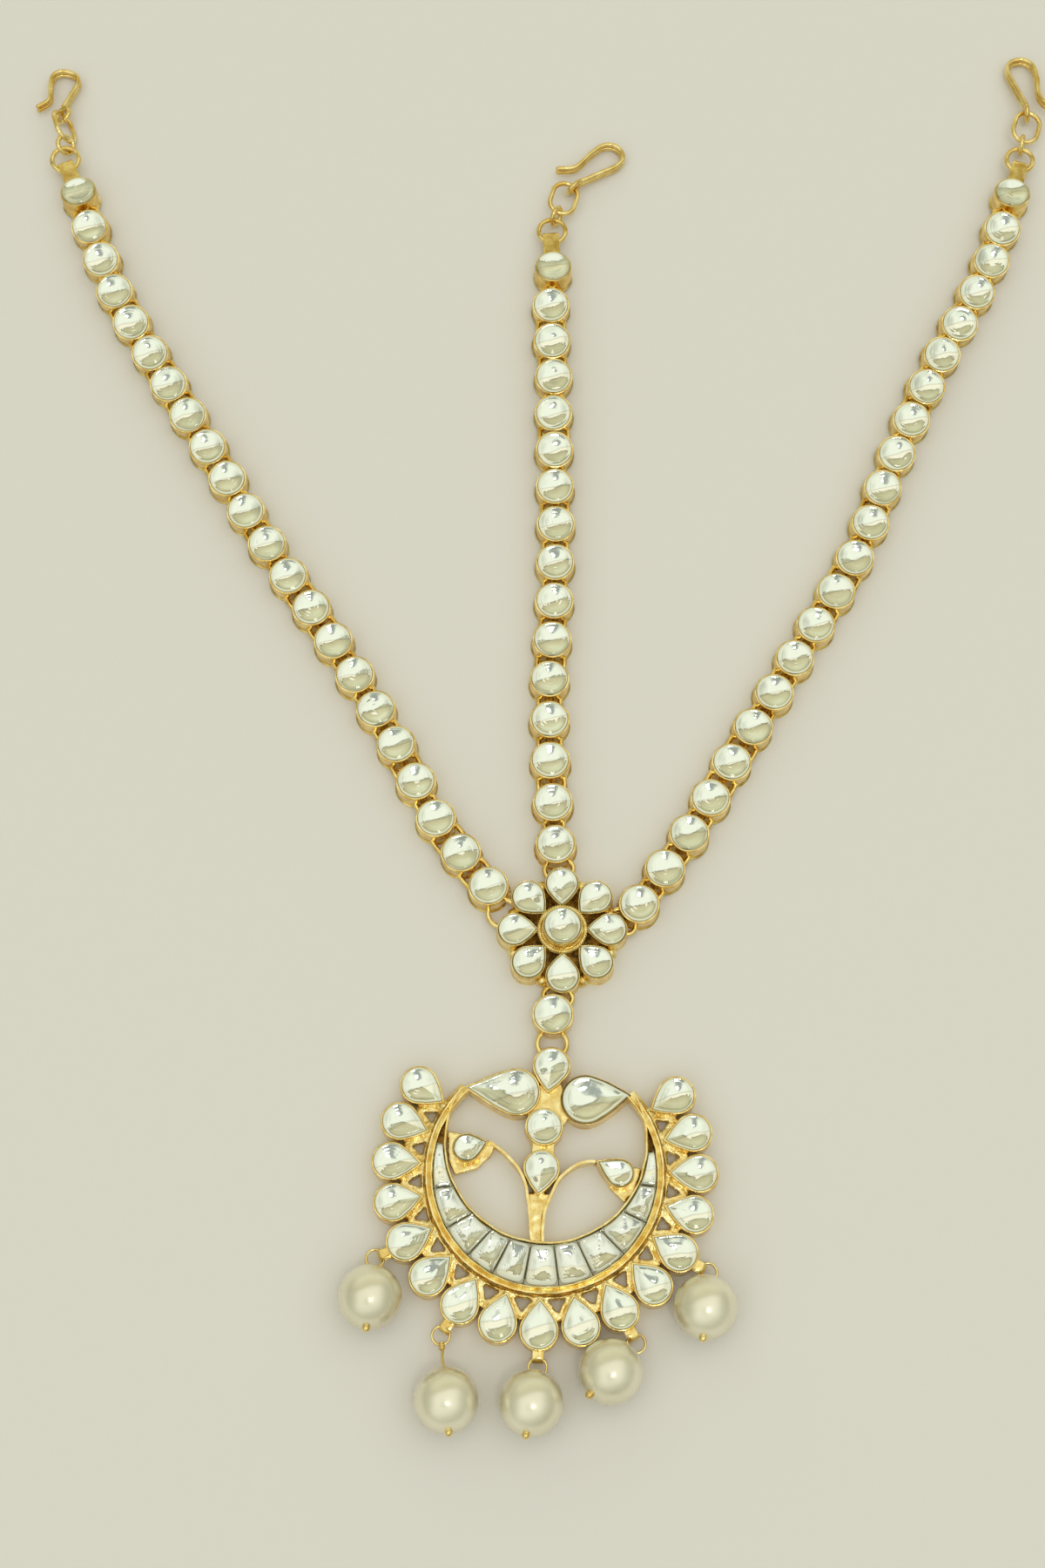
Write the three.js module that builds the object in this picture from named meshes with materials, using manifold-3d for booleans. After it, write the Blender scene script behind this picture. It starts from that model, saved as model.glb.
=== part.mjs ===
import * as THREE from "three";
import { mergeVertices } from "three/addons/utils/BufferGeometryUtils.js";
import Module from "manifold-3d";

const wasm = await Module();
wasm.setup();

// A matha patti: three strands of stone cups meet at a flower, and a crescent pendant with five pearl drops
// hangs below it. It lies on its back, as on a table. Lengths are in millimetres, angles in degrees from +X,
// +Y runs from the pendant to the hooks, +Z is up, and the origin is at the flower's back, under its middle.

// Play between separate pieces
const clearance = 0.3;

// Round stone cups of the strands and of the link
const cupDiameter = 8.2;
const cupHeight = 4.3;
const cupGap = 0.75;
const endCupTilt = 5;
const roundSides = 10;

// Stones: how they rise from their rims
const bezelWall = 0.4;
const seatDepth = 1.2;
const stoneRise = 0.9;
const stoneBevel = 1.15;

// Oval rings between cups, and between cups, flower and pendant
const ringWidth = 6.9;
const ringWire = 1.1;
const ringHeight = 1.4;
const ringGrip = 2;
const chainRingWidth = 6.5;
const chainRingGrip = 4.1;
const wireSides = 5;
const ringSteps = 10;

// Flower
const petalCount = 8;
const petalWidth = 6.9;
const petalReach = 4.9;
const petalGap = 0.37;
const petalHeight = 4.4;
const flowerPlateHeight = 1.6;
const discDiameter = 9.8;
const discHeight = 4.7;
const discSides = 20;
const centreCupDiameter = 7.9;
const centreCupHeight = 7.2;

// Crescent pendant
const pendantTurn = -2.3;
const crescentRadius = 22.8;
const hollowRadius = 19.07;
const hollowOffset = 6;
const rimHeight = 4.4;
const channelFloor = 2.2;
const outerRim = 1.4;
const innerRim = 0.8;
const crescentSides = 32;

// Pear cups round the crescent, and the pierced gallery that carries them
const pearCount = 17;
const pearWidth = 7.5;
const pearReach = 6.1;
const pearGap = 0.33;
const pearHeight = 4.3;
const neckLength = 0.5;
const galleryHeight = 2.4;
const piercingWidth = 3;
const piercingLength = 2.6;
const pearPoints = 9;

// Channel-set stones of the crescent: the share of the arc that each one fills, and the least width of a stone,
// which the outermost two have at the horns
const channelStoneShares = [24, 21, 17.5, 15.5, 16.5, 18, 18, 19, 19.5, 19, 18.5];
const channelStoneLeast = 0.39;
const channelStoneBevel = 0.7;

// Motif inside the crescent, as shares of the hollow's radius, from the pendant's centre
const motifSeats = [
  { name: "motif_top", x: 0.03, y: 1.082, bulb: 0.194, reach: 0.291, points: -96 },
  { name: "motif_left", x: -0.315, y: 0.796, bulb: 0.246, reach: 0.545, points: 177 },
  { name: "motif_right", x: 0.385, y: 0.745, bulb: 0.257, reach: 0.485, points: 8 },
  { name: "motif_round", x: -0.024, y: 0.456, bulb: 0.194, reach: 0, points: 0 },
  { name: "motif_lower", x: -0.033, y: 0.041, bulb: 0.186, reach: 0.286, points: -95 },
  { name: "motif_small_left", x: -0.791, y: 0.215, bulb: 0.147, reach: 0.228, points: 17 },
  { name: "motif_small_right", x: 0.75, y: 0.02, bulb: 0.147, reach: 0.272, points: 155 },
];
const stems = [
  [[-0.573, 0.281], [-0.411, 0.162], [-0.236, -0.037], [-0.165, -0.296], [-0.115, -0.7]],
  [[0.482, 0.14], [0.321, 0.107], [0.16, -0.019], [0.05, -0.229], [-0.005, -0.404], [-0.01, -0.7]],
];
const motifPlates = [
  [[-0.2, 0.62], [-0.06, 0.95], [0.12, 0.95], [0.24, 0.6], [0.12, 0.4], [-0.16, 0.4]],
  [[-0.14, 0.36], [0.1, 0.36], [0.08, 0.12], [-0.14, 0.12]],
  [[-0.16, -0.18], [0.07, -0.18], [0.0, -0.4], [-0.01, -0.7], [-0.12, -0.7], [-0.15, -0.4]],
  [[-0.98, 0.22], [-0.84, 0.32], [-0.74, 0.16], [-0.9, 0.04]],
  [[0.93, 0.06], [0.79, 0.12], [0.7, -0.05], [0.84, -0.24]],
];
const motifHeight = 4.2;
const motifPlateHeight = 2;
const stemThickness = 0.8;
const stemHeight = 3.6;
const stemSteps = 10;

// Pearl drops: the bail's pear, and how far and which way the pearl lies from its wire loop
const drops = [
  { pear: 4, length: 7.55, heading: -94 },
  { pear: 6, length: 11.95, heading: -84 },
  { pear: 8, length: 6.8, heading: -100 },
  { pear: 10, length: 7.35, heading: -133 },
  { pear: 12, length: 6.95, heading: -98 },
];
const pearlDiameter = 12;
const pearlBands = 8;
const pearlPinTilt = 22.5;
const pinBallDiameter = 1.5;
const dropWire = 0.5;
const dropLoopDiameter = 3.9;
const bailWidth = 1.5;
const bailSheet = 0.4;
const bailHeight = 1.9;

// Strap tab on the last cup of a strand, and the rings after it
const tabWidth = 3.6;
const tabLength = 6.4;
const tabSheet = 0.55;
const tabTop = 4.1;
const chainHeight = 2.55;
const tabFoldSeat = 0.9;
const smallRingDiameter = 5;
const ovalRingWidth = 6.8;
const ovalRingLength = 9;
const ringBite = 0.25;

// Doubled-wire hook: its course as shares of its length and width, from the eye to the flared tip
const hookWidth = 7.3;
const hookWire = 1.1;
const hookEyeBore = 2.5;
const hookSteps = 14;
const hookCourse = [
  { along: 0, across: -0.5 },
  { along: 0.4, across: -0.51 },
  { along: 0.78, across: -0.5 },
  { along: 0.95, across: -0.34 },
  { along: 1, across: 0 },
  { along: 0.95, across: 0.32 },
  { along: 0.78, across: 0.5 },
  { along: 0.5, across: 0.4 },
  { along: 0.08, across: 0.14 },
  { along: -0.2, across: 0.36 },
];

// Courses of the three strands from the flower outwards, and the headings and rolls of what follows the tab
const strands = [
  {
    name: "left",
    cups: 22,
    leaves: 148.3,
    gap: 0.1,
    petal: 180,
    course: [
      [-14.6, 9], [-25.2, 23.1], [-33.4, 39], [-47.4, 62.8], [-61.8, 84.8], [-75, 107.3], [-88.3, 129.8],
      [-97.9, 146.7], [-108.2, 173.5],
    ],
    tab: 114,
    rise: 4,
    rings: [{ heading: 106, roll: 0 }, { heading: 72, roll: 40 }, { heading: 108, roll: 57 }],
    hook: { heading: 69, hold: 90, length: 10.9, flareSide: 1 },
  },
  {
    name: "middle",
    cups: 16,
    leaves: 93.8,
    gap: 0.9,
    petal: 90,
    course: [
      [-1.2, 17.9], [-2.2, 36], [-2.3, 53.6], [-1.3, 71.3], [-0.9, 88.9], [-1.1, 106.1], [-1.1, 123.7],
      [-1.7, 140.8], [-1.1, 151.7],
    ],
    tab: 93,
    rise: 0,
    rings: [{ heading: 85, roll: 0 }, { heading: 62, roll: 78 }, { heading: 74, roll: 10 }],
    hook: { heading: 30, hold: 44, length: 13.8, flareSide: 1 },
  },
  {
    name: "right",
    cups: 22,
    leaves: 19.2,
    gap: -0.88,
    petal: 0,
    course: [
      [15.2, 5.3], [26.2, 21], [34.7, 35.6], [48.1, 57.9], [62.1, 81.7], [71.7, 105], [82.3, 128.5],
      [94.8, 151.9], [102, 171.5],
    ],
    tab: 72,
    rise: 0,
    rings: [{ heading: 80, roll: 0 }, { heading: 77, roll: 82 }, { heading: 72, roll: 8 }],
    hook: { heading: 108, hold: 91, length: 14.2, flareSide: -1 },
  },
];

// Link between flower and pendant
const linkLeaves = -96.4;
const linkGap = 0.15;
const pendantLeaves = -91.7;
const pendantGap = 2.4;

const cupRadius = cupDiameter / 2;
const petalRadius = petalWidth / 2;
const pearRadius = pearWidth / 2;
const pearlRadius = pearlDiameter / 2;

// The tab ring is wide enough for the strap's fold to stand inside it
const tabRingBore = Math.hypot(tabWidth / 2, tabFoldSeat) + clearance;
const tabRingDiameter = (2 * tabRingBore + ringWire) / Math.cos(Math.PI / ringSteps) + ringWire;

// Materials, one maker each
function goldMaterial() {
  return new THREE.MeshStandardMaterial({ color: 0xd4a040, roughness: 0.25, metalness: 1 });
}

function castGoldMaterial() {
  return new THREE.MeshStandardMaterial({ color: 0xc9973a, roughness: 0.4, metalness: 1 });
}

function stoneMaterial() {
  return new THREE.MeshStandardMaterial({ color: 0xe6ead2, roughness: 0.08, metalness: 0.35 });
}

function pearlMaterial() {
  return new THREE.MeshStandardMaterial({ color: 0xddc9a3, roughness: 0.3, metalness: 0.05 });
}

// Plane helpers
function radians(degrees) {
  return THREE.MathUtils.degToRad(degrees);
}

function polar(distance, degrees) {
  return new THREE.Vector2(distance * Math.cos(radians(degrees)), distance * Math.sin(radians(degrees)));
}

function seatMatrix(place, degrees = 0, height = 0) {
  const turn = new THREE.Matrix4().makeRotationZ(radians(degrees));
  return turn.setPosition(place.x, place.y, height);
}

// Outlines are functions of the inset from the piece's outer edge
function roundOutline(radius, sides = roundSides) {
  return (inset) =>
    Array.from({ length: sides }, (_, i) => polar(radius - inset, ((i + 0.5) * 360) / sides));
}

// A pear has its bulb's centre at the origin and its point on +X
function pearOutline(radius, reach) {
  const tangent = THREE.MathUtils.radToDeg(Math.acos(radius / reach));
  return (inset) => {
    const share = (radius - inset) / radius;
    const arc = Array.from({ length: pearPoints - 1 }, (_, i) =>
      polar(radius * share, tangent + ((360 - 2 * tangent) * i) / (pearPoints - 2)),
    );
    return [new THREE.Vector2(reach * share, 0), ...arc];
  };
}

// A closed body through flat outlines of equal length, each at its own height
function loft(...sections) {
  const count = sections[0].outline.length;
  const places = sections.flatMap(({ outline, z }) => outline.flatMap((point) => [point.x, point.y, z]));
  const faces = [];
  for (let low = 0; low < (sections.length - 1) * count; low += count) {
    for (let i = 0; i < count; i += 1) {
      const next = low + ((i + 1) % count);
      faces.push(low + i, next, next + count, low + i, next + count, low + i + count);
    }
  }
  const top = (sections.length - 1) * count;
  THREE.ShapeUtils.triangulateShape(sections[0].outline, []).forEach(([a, b, c]) => {
    faces.push(a, c, b, top + a, top + b, top + c);
  });
  const geometry = new THREE.BufferGeometry();
  geometry.setAttribute("position", new THREE.Float32BufferAttribute(places, 3));
  geometry.setIndex(faces);
  return geometry;
}

function prism(outline, low, high) {
  return loft({ outline, z: low }, { outline, z: high });
}

function solidOf(geometry) {
  const bare = new THREE.BufferGeometry();
  bare.setAttribute("position", geometry.getAttribute("position"));
  bare.setIndex(geometry.index);
  const merged = mergeVertices(bare, 1e-4);
  return new wasm.Manifold(
    new wasm.Mesh({
      numProp: 3,
      vertProperties: merged.getAttribute("position").array,
      triVerts: new Uint32Array(merged.index.array),
    }),
  );
}

function joined(geometries) {
  return geometries.map(solidOf).reduce((whole, solid) => whole.add(solid));
}

function meshOf(solid, name, material) {
  const made = solid.getMesh();
  const geometry = new THREE.BufferGeometry();
  geometry.setAttribute("position", new THREE.BufferAttribute(made.vertProperties, 3));
  geometry.setIndex(new THREE.BufferAttribute(made.triVerts, 1));
  geometry.computeVertexNormals();
  return namedMesh(geometry, name, material);
}

function namedMesh(geometry, name, material) {
  const mesh = new THREE.Mesh(geometry, material);
  mesh.name = name;
  return mesh;
}

// A seat is a stone's place: its outline, where it lies and which way it points. The cup under it is a
// straight wall with a recess, and its stone has a girdle, a ring of bevel facets and a table.
function seatCup(seat) {
  return prism(seat.outline(0), 0, seat.height).applyMatrix4(seatMatrix(seat.place, seat.turn));
}

function seatRecess(seat) {
  const geometry = prism(seat.outline(bezelWall), seat.height - seatDepth, seat.height + 1);
  return geometry.applyMatrix4(seatMatrix(seat.place, seat.turn));
}

function seatStone(seat) {
  const inset = bezelWall + clearance;
  const geometry = loft(
    { outline: seat.outline(inset), z: -seatDepth + clearance },
    { outline: seat.outline(inset), z: 0.1 },
    { outline: seat.outline(inset + stoneBevel), z: stoneRise },
  );
  const mesh = namedMesh(geometry, seat.name + "_stone", stoneMaterial());
  mesh.position.set(seat.place.x, seat.place.y, seat.height);
  mesh.rotation.z = radians(seat.turn);
  return mesh;
}

// A flat ring round its own centre, its length along X, with straight sides along the longer way
function ovalRing(width, length, wire) {
  const narrow = Math.min(width, length);
  const stretch = Math.abs(length - width) / 2;
  const ring = new THREE.TorusGeometry((narrow - wire) / 2, wire / 2, wireSides, ringSteps);
  const place = ring.getAttribute("position");
  for (let i = 0; i < place.count; i += 1) {
    const side = Math.abs(place.getX(i)) < 1e-6 ? 0 : Math.sign(place.getX(i));
    place.setX(i, place.getX(i) + side * stretch);
  }
  return length < width ? ring.rotateZ(Math.PI / 2) : ring;
}

// A joining ring reaches from one cup's wall into the next, so its length follows their gap
function joiningRing(from, to, fromRadius, toRadius, width = ringWidth, grip = ringGrip) {
  const span = new THREE.Vector2().subVectors(to, from);
  const gap = span.length() - fromRadius - toRadius;
  const middle = from.clone().addScaledVector(span, (fromRadius + gap / 2) / span.length());
  const turn = THREE.MathUtils.radToDeg(span.angle());
  const shape = (wire, spare) =>
    ovalRing(width + spare, gap + 2 * grip + spare, wire)
      .applyMatrix4(seatMatrix(middle, turn, ringHeight));
  return { ring: shape(ringWire, 0), tunnel: shape(ringWire + 2 * clearance, 2 * clearance) };
}

// Flower
const petalCircle = (petalWidth + petalGap) / (2 * Math.sin(Math.PI / petalCount));
const flowerRadius = petalCircle + petalRadius;
const petalSeats = Array.from({ length: petalCount }, (_, i) => {
  const direction = (360 * i) / petalCount;
  return {
    name: "petal_" + (i + 1),
    outline: pearOutline(petalRadius, petalReach),
    place: polar(petalCircle, direction),
    turn: direction + 180,
    height: petalHeight,
  };
});
const centreSeat = {
  name: "flower_centre",
  outline: roundOutline(centreCupDiameter / 2, pearPoints),
  place: new THREE.Vector2(),
  turn: 0,
  height: centreCupHeight,
};

function flowerBase(tunnels) {
  const seats = [...petalSeats, centreSeat];
  const plate = prism(roundOutline(petalCircle, 2 * petalCount)(0), 0, flowerPlateHeight);
  const disc = prism(roundOutline(discDiameter / 2, discSides)(0), flowerPlateHeight / 2, discHeight);
  const body = joined([plate, disc, ...seats.map(seatCup)]);
  const cuts = joined([...seats.map(seatRecess)]);
  return tunnels.reduce((whole, tunnel) => whole.subtract(solidOf(tunnel)), body.subtract(cuts));
}

// Strands
function walk(strand) {
  const start = polar(flowerRadius + strand.gap + cupRadius, strand.leaves);
  const [firstX, firstY] = strand.course[0];
  const points = strand.course.map(
    ([x, y]) => new THREE.Vector3(x - firstX + start.x, y - firstY + start.y, 0),
  );
  const curve = new THREE.CatmullRomCurve3(points, false, "centripetal");
  const length = curve.getLength();
  const pitch = cupDiameter + cupGap;
  const tangent = curve.getTangentAt(1);
  return Array.from({ length: strand.cups }, (_, i) => {
    const travelled = i * pitch;
    const place = curve.getPointAt(Math.min(travelled / length, 1));
    place.addScaledVector(tangent, Math.max(travelled - length, 0));
    return new THREE.Vector2(place.x, place.y);
  });
}

function strandCup(place, heading, tilt) {
  const rim = roundOutline(cupRadius)(0);
  const geometry = loft(
    { outline: rim, z: 0 },
    { outline: rim, z: cupHeight },
    { outline: roundOutline(cupRadius)(bezelWall + stoneBevel), z: cupHeight + stoneRise },
  );
  const lean = new THREE.Matrix4().makeRotationY(radians(tilt));
  lean.setPosition(0, 0, cupRadius * Math.sin(radians(tilt)));
  return geometry.applyMatrix4(lean).applyMatrix4(seatMatrix(place, heading));
}

// The strap runs out from the cup and folds back under, and leaves a slot for the tab ring
function tabStrap(place, heading) {
  const slot = ringWire + 2.2 * clearance;
  const low = chainHeight - slot / 2 - tabSheet;
  const high = chainHeight + slot / 2 + tabSheet;
  const slotStart = tabLength - tabSheet + tabFoldSeat - tabRingDiameter / 2 - clearance;
  const profile = new THREE.Shape([
    new THREE.Vector2(-1.5, low),
    new THREE.Vector2(tabLength - tabSheet, low),
    new THREE.Vector2(tabLength, low + tabSheet),
    new THREE.Vector2(tabLength, high - tabSheet),
    new THREE.Vector2(tabLength - tabSheet, high),
    new THREE.Vector2(-1.5, tabTop),
  ]);
  profile.holes.push(
    new THREE.Path([
      new THREE.Vector2(slotStart, low + tabSheet),
      new THREE.Vector2(tabLength - tabSheet, low + tabSheet),
      new THREE.Vector2(tabLength - tabSheet, high - tabSheet),
      new THREE.Vector2(slotStart, high - tabSheet),
    ]),
  );
  const strap = new THREE.ExtrudeGeometry(profile, { depth: tabWidth, bevelEnabled: false });
  strap.translate(0, 0, -tabWidth / 2);
  strap.rotateX(Math.PI / 2);
  const start = place.clone().add(polar(cupRadius, heading));
  return strap.applyMatrix4(seatMatrix(start, heading));
}

function strandSolid(strand, cups, tunnel) {
  const last = cups.length - 1;
  const pieces = cups.map((place, i) => {
    const heading = THREE.MathUtils.radToDeg(
      new THREE.Vector2().subVectors(cups[Math.min(i + 1, last)], cups[Math.min(i, last - 1)]).angle(),
    );
    return strandCup(place, heading, i === last ? endCupTilt : 0);
  });
  for (let i = 0; i < last; i += 1) {
    const link = joiningRing(cups[i], cups[i + 1], cupRadius, cupRadius, chainRingWidth, chainRingGrip);
    pieces.push(link.ring);
  }
  pieces.push(tabStrap(cups[last], strand.tab));
  return joined(pieces).subtract(solidOf(tunnel));
}

// Rings after the tab: each takes hold of the one before it, pulled taut
function placedRing(ring, middle, heading, rise, roll) {
  return ring
    .rotateX(radians(roll))
    .rotateY(radians(-rise))
    .applyMatrix4(seatMatrix(middle, heading, middle.z));
}

function course(distance, heading, rise = 0) {
  const flat = polar(distance * Math.cos(radians(rise)), heading);
  return new THREE.Vector3(flat.x, flat.y, distance * Math.sin(radians(rise)));
}

function endChain(strand, slotPlace) {
  const sizes = [
    { width: tabRingDiameter, length: tabRingDiameter },
    { width: smallRingDiameter, length: smallRingDiameter },
    { width: ovalRingWidth, length: ovalRingLength },
  ];
  const pieces = [];
  let grip = new THREE.Vector3(slotPlace.x, slotPlace.y, chainHeight);
  let middle = grip;
  sizes.forEach(({ width, length }, i) => {
    const { heading, roll } = strand.rings[i];
    const rise = i === 0 ? strand.rise : 0;
    const half = length / 2 - ringWire;
    const reach = i === 0 ? half + ringWire / 2 : half + ringBite;
    middle = grip.clone().add(course(reach, heading, rise));
    pieces.push(placedRing(ovalRing(width, length, ringWire), middle, heading, rise, roll));
    grip = middle.clone().add(course(half, heading, rise));
  });
  const oval = strand.rings[sizes.length - 1];
  const arc = polar((ovalRingWidth - ringWire) / 2, strand.hook.hold - oval.heading);
  const eyePlace = new THREE.Vector3((ovalRingLength - ovalRingWidth) / 2 + arc.x, arc.y, 0)
    .applyAxisAngle(new THREE.Vector3(1, 0, 0), radians(oval.roll))
    .applyAxisAngle(new THREE.Vector3(0, 0, 1), radians(oval.heading))
    .add(middle);
  return { solid: joined(pieces), eyePlace };
}

// Hook: a wire folded double, so that its two runs lie one above the other and their fold is a round eye
function hookSolid(strand, eyePlace) {
  const { heading, hold, length, flareSide } = strand.hook;
  const layer = (hookWire + clearance / 2) / 2;
  const eyeRadius = (hookEyeBore + hookWire) / 2;
  const start = polar(eyeRadius, hold - heading);
  const points = hookCourse.map(({ along, across }) =>
    new THREE.Vector3(
      along * (length - hookWire) + start.x,
      (across - hookCourse[0].across) * (hookWidth - hookWire) * flareSide + start.y,
      0,
    ),
  );
  const curve = new THREE.CatmullRomCurve3(points, false, "centripetal");
  const section = new THREE.Shape(roundOutline(hookWire / 2, wireSides)(0));
  const run = (side) =>
    new THREE.ExtrudeGeometry(section, {
      steps: hookSteps,
      bevelEnabled: false,
      extrudePath: curve,
    }).translate(0, 0, side * layer);
  const eye = new THREE.TorusGeometry(eyeRadius, hookWire / 2, wireSides, ringSteps);
  eye.rotateX(Math.PI / 2 + radians(strand.rings[strand.rings.length - 1].roll) * flareSide);
  eye.rotateZ(radians(hold - heading));
  const fall = Math.asin((eyePlace.z - layer - hookWire / 2) / (length + eyeRadius));
  const placed = [run(1), run(-1), eye].map((wire) =>
    wire.rotateY(fall).applyMatrix4(seatMatrix(eyePlace, heading, eyePlace.z)),
  );
  return joined(placed);
}

// Pendant
const pearCircle = crescentRadius + neckLength + pearReach;
const pearPitch = THREE.MathUtils.radToDeg(2 * Math.asin((pearWidth + pearGap) / 2 / pearCircle));
const pearSeats = Array.from({ length: pearCount }, (_, i) => {
  const direction = 270 + ((pearCount - 1) / -2 + i) * pearPitch;
  return {
    name: "outer_" + (i + 1),
    outline: pearOutline(pearRadius, pearReach),
    place: polar(pearCircle, direction),
    turn: direction + 180,
    direction,
    height: pearHeight,
  };
});
const motifCups = motifSeats.map(({ name, x, y, bulb, reach, points }) => ({
  name,
  outline:
    reach > 0
      ? pearOutline(bulb * hollowRadius, reach * hollowRadius)
      : roundOutline(bulb * hollowRadius, pearPoints),
  place: new THREE.Vector2(x, y).multiplyScalar(hollowRadius),
  turn: points,
  radius: bulb * hollowRadius,
  height: motifHeight,
}));
const hollowCentre = new THREE.Vector2(0, hollowOffset);

function disc(radius, place, low, high) {
  return prism(roundOutline(radius, crescentSides)(0), low, high).translate(place.x, place.y, 0);
}

function crescent(radius, hollow, low, high) {
  const spare = 1;
  const whole = solidOf(disc(radius, new THREE.Vector2(), low, high));
  return whole.subtract(solidOf(disc(hollow, hollowCentre, low - spare, high + spare)));
}

// The gallery is a band of plate from the crescent's rim to the pears' bulbs
function galleryPlate() {
  const outer = pearSeats.map(({ direction }) => polar(pearCircle - pearRadius / 2, direction));
  const inner = pearSeats.map(({ direction }) => polar(crescentRadius - outerRim / 2, direction));
  return prism([...outer, ...inner.reverse()], 0, galleryHeight);
}

function piercings() {
  const start = crescentRadius + piercingWidth / 6;
  const triangle = [
    new THREE.Vector2(start, -piercingWidth / 2),
    new THREE.Vector2(start + piercingLength, 0),
    new THREE.Vector2(start, piercingWidth / 2),
  ];
  return pearSeats.slice(1).map(({ direction }) =>
    prism(triangle, -1, pearHeight + 1).applyMatrix4(
      seatMatrix(new THREE.Vector2(), direction - pearPitch / 2),
    ),
  );
}

// A flat-sided strip that stands on edge along a smooth line
function standingStrip(points, thickness, height) {
  const line = new THREE.SplineCurve(points.map(([x, y]) => new THREE.Vector2(x, y)));
  const side = (offset) =>
    Array.from({ length: stemSteps + 1 }, (_, i) => {
      const tangent = line.getTangent(i / stemSteps);
      return line.getPoint(i / stemSteps).add(new THREE.Vector2(tangent.y, -tangent.x).multiplyScalar(offset));
    });
  return prism([...side(thickness / 2), ...side(-thickness / 2).reverse()], 0, height);
}

// Bails: a strap folded into a loop beyond every second lower pear, for the wire loop of its drop
const bailBore = dropWire + 3 * clearance;
const loopRadius = (dropLoopDiameter - dropWire) / 2;
const bailStart = pearCircle + pearRadius;
const loopPass = bailStart + bailSheet + clearance + dropWire / 2;

function bail({ direction }) {
  const low = bailHeight - bailBore / 2 - bailSheet;
  const high = bailHeight + bailBore / 2 + bailSheet;
  const box = (x0, x1, z0, z1) => [
    new THREE.Vector2(x0, z0),
    new THREE.Vector2(x1, z0),
    new THREE.Vector2(x1, z1),
    new THREE.Vector2(x0, z1),
  ];
  const boreEnd = bailStart + bailSheet + bailBore;
  const profile = new THREE.Shape(box(bailStart - 2 * bailSheet, boreEnd + bailSheet, low, high));
  profile.holes.push(
    new THREE.Path(box(bailStart + bailSheet, boreEnd, low + bailSheet, high - bailSheet)),
  );
  const strap = new THREE.ExtrudeGeometry(profile, { depth: bailWidth, bevelEnabled: false });
  strap.translate(0, 0, -bailWidth / 2);
  strap.rotateX(Math.PI / 2);
  return strap.applyMatrix4(seatMatrix(new THREE.Vector2(), direction));
}

function pendantFrame(tunnel) {
  const seats = [...pearSeats, ...motifCups];
  const scaled = (points) => points.map(([x, y]) => [x * hollowRadius, y * hollowRadius]);
  const plates = motifPlates.map((corners) => {
    const outline = scaled(corners).map(([x, y]) => new THREE.Vector2(x, y));
    const facing = THREE.ShapeUtils.isClockWise(outline) ? outline.reverse() : outline;
    return prism(facing, 0, motifPlateHeight);
  });
  const strips = stems.map((line) => standingStrip(scaled(line), stemThickness, stemHeight));
  const bails = drops.map((drop) => bail(pearSeats[drop.pear]));
  const body = joined([galleryPlate(), ...plates, ...strips, ...bails, ...seats.map(seatCup)])
    .add(crescent(crescentRadius, hollowRadius, 0, rimHeight));
  const channel = crescent(crescentRadius - outerRim, hollowRadius + innerRim, channelFloor, rimHeight + 1);
  return body
    .subtract(joined(seats.map(seatRecess)))
    .subtract(channel)
    .subtract(joined(piercings()))
    .subtract(solidOf(tunnel));
}

// Channel stones: short blocks side by side on one backing, between the crescent's two rims
function crescentStones() {
  const outer = crescentRadius - outerRim - clearance;
  const inner = hollowRadius + innerRim + clearance;
  const least = outer - channelStoneLeast;
  const hornRise = (least * least + hollowOffset * hollowOffset - inner * inner) / (2 * least * hollowOffset);
  const arc = 180 + 2 * THREE.MathUtils.radToDeg(Math.asin(hornRise));
  const innerReach = (degrees, reach) => {
    const step = polar(1, degrees);
    const along = step.dot(hollowCentre);
    return along + Math.sqrt(along * along - hollowCentre.lengthSq() + reach * reach);
  };
  // Its far side follows the outer rim and its near side the inner one
  const block = (from, to, inset, seam) => {
    const angles = [from, (from + to) / 2, to];
    const trim = [seam, 0, -seam].map((length) => THREE.MathUtils.radToDeg(length / outer));
    const far = angles.map((angle, i) => polar(outer - inset, angle + trim[i]));
    const near = angles.map((angle, i) =>
      polar(innerReach(angle + trim[i], inner + inset), angle + trim[i]),
    );
    return [...far, ...near.reverse()];
  };
  const whole = channelStoneShares.reduce((sum, share) => sum + share, 0);
  const low = channelFloor + clearance;
  const high = rimHeight + 0.2;
  const pieces = [];
  let angle = 270 - arc / 2;
  channelStoneShares.forEach((share) => {
    const next = angle + (arc * share) / whole;
    pieces.push(
      loft(
        { outline: block(angle, next, 0, 0), z: low },
        { outline: block(angle, next, 0, 0), z: high - channelStoneBevel },
        { outline: block(angle, next, channelStoneBevel, channelStoneBevel), z: high },
      ),
    );
    angle = next;
  });
  return meshOf(joined(pieces), "crescent_stones", stoneMaterial());
}

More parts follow.
